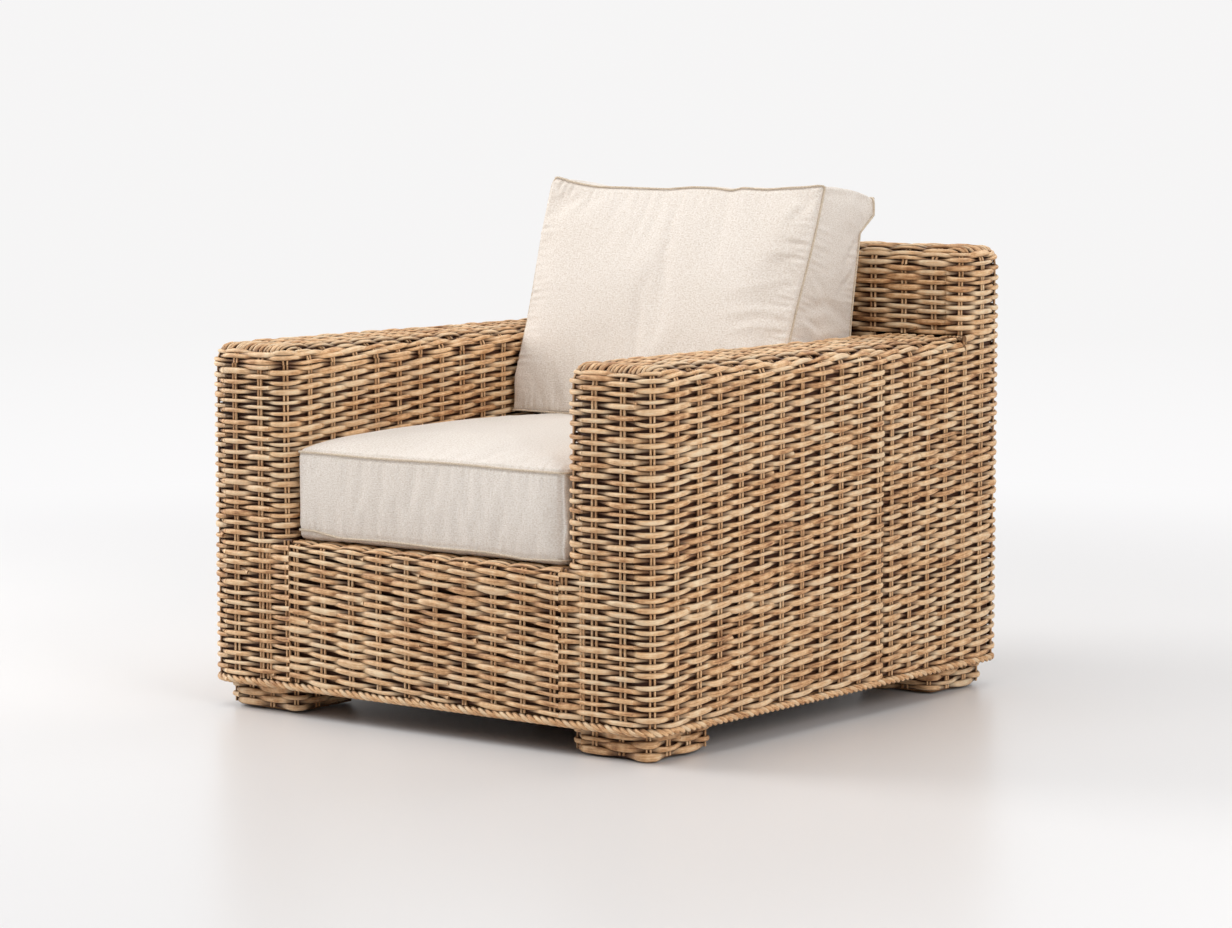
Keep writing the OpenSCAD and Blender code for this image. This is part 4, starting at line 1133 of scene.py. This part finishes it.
SEAT_HALF, SEAT_DRAW = 268.0, 5.0      # half width, and how far its sides draw in
SEAT_SPACE = 269.0         # half the space between the arms
SEAT_FRONT, SEAT_REAR = -463.0, 336.0  # its front and rear face
SEAT_MID, SEAT_LONG = (SEAT_FRONT + SEAT_REAR) / 2, (SEAT_REAR - SEAT_FRONT) / 2
SEAT_LOW, SEAT_SEAM = 279.3, 418.3     # underside and upper seam
SEAT_CROWN, SEAT_PRESS = 37.0, 7.0     # crown over that seam, and how far it is pressed down
SEAT_WELT_LOW = 12.0       # height of the lower seam above the seat
SEAT_START = 0.8           # share of the crown that the cover is cut with
PRESSED = 53.6             # from here back the crown is pressed down to a level top
PRESSED_TOP = 448.1        # height of that level top, under the back cushion
FADE, FREE = 30.0, 40.0    # over what length the press sets in, and the room ahead of it
FLAT_HEM = 4.0             # beside the seam the crown keeps its own height
UP_POINTS, ACROSS_POINTS = 9, 56


def seat_side(u, y, z=None):
    return u * (SEAT_HALF - SEAT_DRAW * fullness((y - SEAT_MID) / SEAT_LONG, 2))


def seat_seam(u):
    """Unevenness of the upper and the lower front seam, in their height."""
    return (0.9 * np.sin(5.1 * u + 0.6) * fullness(u, 4),
            np.interp(u, [-1, -0.88, -0.67, -0.29, 0.09, 0.42, 0.72, 0.82, 1],
                      [4.2, 4.6, -3.4, -1.2, -3.4, -2.2, -6.6, -5.6, -3.6]))


def seat_section(u):
    inset = corner_in(u, SEAT_HALF)
    front = SEAT_FRONT + inset + SEAT_DRAW / 2 * fullness(u, 2)
    rear = SEAT_REAR - inset
    upper, lower = seat_seam(u)
    hem = SEAT_WELT_LOW + lower
    roll = [(front + 14, SEAT_LOW), (front + 6, SEAT_LOW + 0.2 * hem),
            (front + 1.2, SEAT_LOW + 0.6 * hem)]
    up = np.linspace(0, 1, UP_POINTS)
    box = np.stack([front + 0 * up,
                    SEAT_LOW + hem + (SEAT_SEAM + upper - SEAT_LOW - hem) * up], -1)
    t = -np.cos(math.pi * np.linspace(0, 1, ACROSS_POINTS))
    y = front + (rear - front) * (t + 1) / 2
    press = ease((y - SEAT_MID) / (PRESSED - SEAT_MID))
    crown = SEAT_START * np.sqrt(fullness(u, 8) * fullness(t, 9))
    crown = crown * (SEAT_CROWN - SEAT_PRESS * press)
    top = np.stack([y, SEAT_SEAM + upper * (1 - (t + 1) / 2) + crown], -1)
    down = np.linspace(SEAT_SEAM, SEAT_LOW + SEAT_WELT_LOW, UP_POINTS)[1:]
    back = np.stack([rear + 0 * down, down], -1)
    under = np.stack([np.linspace(rear - 12, front + 40, 12), np.full(12, SEAT_LOW)], -1)
    yz = np.concatenate([roll, box, top[1:], back, under])
    return np.stack([seat_side(u, yz[:, 0]), yz[:, 0], yz[:, 1]], -1)


def cover(piece, body):
    """Ends a cushion cover: linen, in place of its CAD solid."""
    piece.data.materials.append(linen.material)
    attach(piece, body)
    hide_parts(body + "_cover")


def seam_round(section, first, last):
    """The sewn edge of a panel: its front run, one side, its rear run and the other side."""
    across = np.array([section(u) for u in STATIONS])
    return np.concatenate([across[:, first], across[-1, first:last + 1], across[::-1, last],
                           across[0, first:last + 1][::-1]])


ROLL_POINTS = 3
top_first = ROLL_POINTS + UP_POINTS - 1
seat_top_seam = seam_round(seat_section, top_first, top_first + ACROSS_POINTS - 1)
seat_low_seam = seat_top_seam.copy()
seat_low_seam[:, 2] = SEAT_LOW + SEAT_WELT_LOW + (
    seat_seam(seat_low_seam[:, 0] / SEAT_HALF)[1]
    * ease((SEAT_FRONT + 150 - seat_low_seam[:, 1]) / 130))
seat_seams = [seat_top_seam, seat_low_seam]
draw = np.random.default_rng(61)
seat = shell("seat_cushion_linen", seat_section, seat_side)
swell(seat, seat_seams, 1.0, 22.0, 0.005)
gather(seat, seat_seams, draw)
points = corners(seat)
above = points[:, 2] - SEAT_SEAM
share = (above - FLAT_HEM) / (above.max() - FLAT_HEM)
points[:, 2] = np.where(above > FLAT_HEM, SEAT_SEAM + FLAT_HEM
                        + share * (SEAT_CROWN - FLAT_HEM), points[:, 2])
points[:, 2] = np.clip(points[:, 2], SEAT_LOW, None)
under_back = ease((points[:, 1] - PRESSED + FADE) / FADE)
points[:, 2] = np.minimum(points[:, 2], PRESSED_TOP + (1 - under_back) * FREE)
points[:, 0] = np.clip(points[:, 0], -SEAT_SPACE, SEAT_SPACE)
reshape(seat, points)
cloth_map(seat)
cover(seat, "seat_cushion")
welt("seat_cushion_welt", seat_seams, 1.8, welting.material, "seat_cushion")

foam = Finish("cushion foam", Roughness=0.95)
cells = foam.node("TexVoronoi", None, foam.place(), Scale=520.0)
yellowing = foam.node("TexNoise", None, foam.place(), Scale=30.0, Detail=3.0)
dress(foam.wear(foam.ramp(yellowing, (0.35, (0.90, 0.86, 0.70)), (0.65, (0.95, 0.93, 0.82))),
                None, cells, 0.5, 0.0008), "seat_cushion_core")


TOOTH, CHAIN_HALF = 0.003, 0.0023      # between two teeth, and half the chain's height


def zip_cloth(name, node):
    """Woven zip tape with a row of antique brass teeth along its middle."""
    low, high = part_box(node)
    cloth = Finish(name)
    across = cloth.node("SeparateXYZ", None, cloth.place(), out="X")
    height = cloth.node("SeparateXYZ", None, cloth.place(), out="Z")
    away = cloth.magnitude(height - (low[2] + high[2]) / 2)
    teeth = cloth.node("Math", {"operation": "SINE"}, across * (2 * math.pi / TOOTH))
    chain = cloth.node("MapRange", None, away, CHAIN_HALF - 0.0002, CHAIN_HALF + 0.0002,
                       1.0, 0.0)
    twill = cloth.node("TexNoise", None, cloth.place(), Scale=900.0, Detail=2.0)
    tape = cloth.ramp(twill, (0.35, (0.76, 0.71, 0.63)), (0.65, (0.86, 0.81, 0.74)))
    brass = cloth.ramp(teeth * 0.5 + 0.5, (0.2, (0.16, 0.11, 0.07)),
                       (0.6, (0.52, 0.38, 0.22)))
    cloth.feed(cloth.shader.inputs["Metallic"], chain)
    return cloth.wear(cloth.blend(chain, tape, brass), 0.85 - 0.45 * chain,
                      twill * 0.3 + chain * teeth, 0.5, 0.0006)


aged = Finish("antique brass", Metallic=1.0)
tarnish = aged.node("TexNoise", None, aged.place(), Scale=700.0, Detail=4.0)
aged.wear(aged.ramp(tarnish, (0.35, (0.36, 0.25, 0.15)), (0.68, (0.58, 0.43, 0.27))),
          0.30 + 0.35 * tarnish, tarnish, 0.15, 0.0003)
dress(zip_cloth("seat zip tape", "seat_zip_tape"), "seat_zip_tape")
dress(aged.material, "seat_zip_slider", "seat_zip_pull")


# ------------------------------------------------------------------ back cushion
# A slack boxed linen cover stuffed with hollow fibre. It leans on the woven back, its top
# edge dips between the corners, and folds run in from its right-hand seams.

BACK_HALF = 265.0                      # half its width
BACK_CROWN, BACK_DIP = 11.0, 11.0      # swell of its front, and dip of its top edge
BACK_FLARE, ARM_LEVEL = 8.0, 585.0     # how much wider it is over the arms
AHEAD_LEFT, LOW_RIGHT = 15.0, 5.0      # how far the slack front leans out of true
# Corners of its side view: how far back, and how high.
LOW_FRONT, TOP_FRONT = np.array([63.6, 448.6]), np.array([198.5, 835.8])
TOP_REAR, BAND_LOW = np.array([358.0, 807.7]), np.array([358.0, 777.7])
WAIST, LOW_REAR = np.array([318.0, 749.7]), np.array([289.6, 448.6])
LEAN = math.radians(19.2)              # of the front panel, from upright
FRONT_LENGTH = 410.0                   # of the front panel, from seam to seam
ROOM, ROOM_WIDER = 269.2, 30.0         # half the room between the arms, and the more above
ROOM_FROM, ROOM_RISE = 560.0, 120.0    # where it starts to widen, and over what height
BEHIND, BEHIND_TOP = 352.0, 358.0      # room to the rear, below and above OVER_BACK
OVER_BACK = 735.0                      # just over the top of the woven back
FACE_POINTS, BOX_POINTS, REAR_POINTS = 44, 13, 26


def back_side(u, y, z):
    return u * (BACK_HALF + BACK_FLARE * ease((z - ARM_LEVEL) / (BAND_LOW[1] - ARM_LEVEL)))


def top_edge(u):
    """Height of the slack top edge against a straight line between its corners."""
    return -BACK_DIP * fullness(u, 4) + np.interp(
        u, [-1, -0.85, -0.66, -0.44, -0.13, 0.05, 0.2, 0.35, 0.43, 0.59, 0.76, 0.92, 1],
        [0, -6.0, -9.0, -7.0, -6.5, -1.6, -1.2, -4.4, 0.6, -1.8, 0.2, -0.6, 0])


def round_corners(points):
    """Rounds the top corners of the back cushion, more at its left than at its right."""
    x, y, z = points.T
    top = np.interp(y, [TOP_FRONT[0], TOP_REAR[0]], [TOP_FRONT[1], TOP_REAR[1]])
    top = top + LOW_RIGHT * (x < 0)
    radius = np.where(x < 0, 20.0, 11.0)
    a = abs(x) - BACK_HALF - BACK_FLARE + radius
    b = z - top + radius
    both = (a > 0) & (b > 0)
    pull = np.where(both, np.maximum(a, b) / (np.hypot(a, b) + 1e-9), 1.0)
    return np.stack([np.sign(x) * (abs(x) + np.where(both, a * (pull - 1), 0)), y,
                     z + np.where(both, b * (pull - 1), 0)], -1)


def back_section(u):
    inset = corner_in(u, BACK_HALF)
    ahead, low, dip = AHEAD_LEFT * min(u, 0), LOW_RIGHT * u, top_edge(u)
    t = (1 - np.cos(math.pi * np.linspace(0, 1, FACE_POINTS))) / 2
    swollen = BACK_CROWN * fullness(u, 3) * fullness(2 * t - 1, 4) - inset
    face = LOW_FRONT + (TOP_FRONT - LOW_FRONT) * t[:, None]
    face = face + np.stack([ahead * ease(6 * t) - math.cos(LEAN) * swollen,
                            -low * t + dip * ease(2 * t - 1) + math.sin(LEAN) * swollen], -1)
    t = np.linspace(0, 1, BOX_POINTS)[1:]
    box = TOP_FRONT + (TOP_REAR - TOP_FRONT) * t[:, None]
    box = box + np.stack([ahead * (1 - t) - inset * t,
                          -low * (1 - t) + 4 * fullness(2 * t - 1, 2) + dip], -1)
    t = np.linspace(0, 1, 5)[1:]
    band = TOP_REAR + (BAND_LOW - TOP_REAR) * t[:, None]
    band = band + np.stack([-inset + 0 * t, dip * (1 - t)], -1)
    t = np.linspace(0, 1, REAR_POINTS)
    rear = WAIST + (LOW_REAR - WAIST) * t[:, None]
    rear = rear + np.stack([20 * fullness(u, 2) * fullness(2 * t - 1, 2) - inset, 0 * t], -1)
    t = np.linspace(0, 1, 12)[1:-1]
    under = LOW_REAR + (LOW_FRONT - LOW_REAR) * t[:, None]
    yz = np.concatenate([face, box, band, rear, under])
    return round_corners(np.stack([back_side(u, yz[:, 0], yz[:, 1]), yz[:, 0], yz[:, 1]], -1))


def slope(x, up):
    """Point on the front panel, across from its middle and up from its lower seam."""
    y, z = LOW_FRONT + (TOP_FRONT - LOW_FRONT) * up / FRONT_LENGTH
    return x, y, z


front_seam = seam_round(back_section, 0, FACE_POINTS - 1)
rear_first = FACE_POINTS - 1 + BOX_POINTS - 1
rear_seam = seam_round(back_section, rear_first, rear_first + 4 + REAR_POINTS)
back_seams = [front_seam, rear_seam]
draw = np.random.default_rng(62)
back = shell("back_cushion_linen", back_section, back_side)
swell(back, back_seams, 1.0, 16.0, 0.007)
gather(back, back_seams, draw, 0.5, 12.0)
# Creases run in from the seams: first on the front panel, then on the right and left sides.
for width, depth, *way in (
        (10, 3.2, slope(264, 284), slope(235, 275), slope(198, 268)),
        (8, 1.8, slope(262, 305), slope(225, 300)),
        (12, 2.4, slope(262, 238), slope(205, 216), slope(135, 190)),
        (10, 4.2, slope(262, 176), slope(215, 176), slope(150, 160)),
        (9, 3.4, slope(258, 152), slope(210, 150), slope(160, 132)),
        (12, 1.6, slope(250, 120), slope(190, 110), slope(120, 118)),
        (11, 2.0, slope(262, 380), slope(238, 352), slope(222, 318)),
        (12, 1.6, slope(-262, 380), slope(-235, 350), slope(-225, 300)),
        (14, 1.4, slope(-262, 250), slope(-215, 236), slope(-160, 240)),
        (9, 3.2, (268, 150, 622), (269, 180, 606), (268, 205, 588)),
        (10, 2.2, (272, 312, 745), (272, 282, 724), (271, 252, 690)),
        (9, 2.0, (272, 300, 700), (271, 268, 668), (270, 240, 655)),
        (10, 2.2, (270, 170, 690), (271, 196, 668), (270, 214, 640)),
        (9, 1.8, (-268, 150, 640), (-269, 185, 620), (-268, 215, 606)),
        (10, 2.2, (-272, 312, 740), (-272, 280, 716), (-271, 250, 690))):
    fold(back, way, width, depth)
points = corners(back)
points[:, 2] = np.clip(points[:, 2], LOW_FRONT[1], None)
room = ROOM + ROOM_WIDER * ease((points[:, 2] - ROOM_FROM) / ROOM_RISE)
points[:, 0] = np.clip(points[:, 0], -room, room)
points[:, 1] = np.minimum(points[:, 1], np.where(points[:, 2] < OVER_BACK, BEHIND, BEHIND_TOP))
reshape(back, points)
cloth_map(back, -LEAN)
cover(back, "back_cushion")
welt("back_cushion_welt", back_seams, 1.7, welting.material, "back_cushion")

filling = Finish("hollow fibre filling", Roughness=0.95)
wisps = filling.node("TexNoise", None, filling.place(), Scale=160.0, Detail=6.0,
                     Roughness=0.7)
dress(filling.wear(filling.ramp(wisps, (0.35, (0.90, 0.90, 0.88)), (0.65, (0.97, 0.97, 0.96))),
                   None, wisps, 0.6, 0.002), "back_cushion_core")
dress(zip_cloth("back zip tape", "back_zip_tape"), "back_zip_tape")
dress(aged.material, "back_zip_slider", "back_zip_pull")


# ------------------------------------------------------------------ floor, light and camera
# A pale studio floor that runs back without an edge, and broad soft lamps over the chair and
# round it. The view is from in front and from the chair's right.

PALE = paint((0.965, 0.962, 0.962))


def looked_at(nodes, *rays):
    """1 for the rays named, which see a surface or the backdrop but don't light the chair."""
    shown = nodes.node("LightPath", out=rays[0])
    for ray in rays[1:]:
        shown = nodes.larger(shown, nodes.node("LightPath", out=ray))
    return shown


floor_mesh = bpy.data.meshes.new("studio_floor")
floor_mesh.from_pydata([(-30, -30, 0), (30, -30, 0), (30, 30, 0), (-30, 30, 0)], [],
                       [(0, 1, 2, 3)])
floor = bpy.data.objects.new("studio_floor", floor_mesh)
bpy.context.scene.collection.objects.link(floor)
ground = Finish("studio floor", Base_Color=paint((0.890, 0.882, 0.878)), Roughness=0.32)
away = ground.node("VectorMath", {"operation": "LENGTH"}, ground.place(), out=1)
far = ground.node("MapRange", {"interpolation_type": "SMOOTHSTEP"}, away, 1.1, 3.4, 0.0, 1.0)
depart = ground.node("MapRange", None, away, 3.0, 9.0, 0.0, 1.0)
haze = ground.node("Emission", None, ground.blend(depart, paint((0.985, 0.982, 0.984)), PALE),
                   1.0)
seen = looked_at(ground, "Is Camera Ray", "Is Glossy Ray")
lit = Value(ground, ground.shader.outputs[0])
ground.feed(ground.tree.nodes["Material Output"].inputs[0],
            ground.node("MixShader", None, far * seen, lit, haze))
floor_mesh.materials.append(ground.material)

world = bpy.data.worlds.new("studio")
bpy.context.scene.world = world
world.use_nodes = True
sky = Nodes(world.node_tree)
ambient = sky.tree.nodes["Background"]
ambient.inputs["Color"].default_value = (0.95, 0.97, 1.0, 1)
ambient.inputs["Strength"].default_value = 0.30
backdrop = sky.node("Background", None, PALE)
seen = looked_at(sky, "Is Camera Ray", "Is Glossy Ray", "Is Transmission Ray")
lit = Value(sky, ambient.outputs[0])
sky.feed(sky.tree.nodes["World Output"].inputs[0],
         sky.node("MixShader", None, seen, lit, backdrop))

AIM = Vector((0, 0, 0.4))
for name, at, size, power in (("overhead", (-0.3, -0.9, 4.0), 4.0, 76.0),
                              ("key", (-3.7, -1.5, 2.1), 2.2, 125.0),
                              ("fill", (4.2, -1.2, 2.2), 2.6, 92.0),
                              ("rear", (0.6, 3.0, 3.2), 3.0, 48.0)):
    lamp = bpy.data.lights.new(name, "AREA")
    lamp.size, lamp.energy = size, power
    holder = bpy.data.objects.new(name, lamp)
    holder.location = at
    holder.rotation_euler = (AIM - Vector(at)).to_track_quat("-Z", "Y").to_euler()
    bpy.context.scene.collection.objects.link(holder)

view = bpy.data.cameras.new("view")
FILM, FRAME_WIDE, FOCUS = 36.0, 1232.0, 3583.0     # FOCUS is the lens's length in pixels
view.lens, view.sensor_width = FOCUS / FRAME_WIDE * FILM, FILM
camera = bpy.data.objects.new("view", view)
camera.location = (3.5341, -4.5851, 0.9732)
camera.rotation_euler = (math.radians(90 - 5.87), 0, math.radians(37.57))
bpy.context.scene.collection.objects.link(camera)
bpy.context.scene.camera = camera
bpy.context.scene.view_settings.view_transform = "Standard"
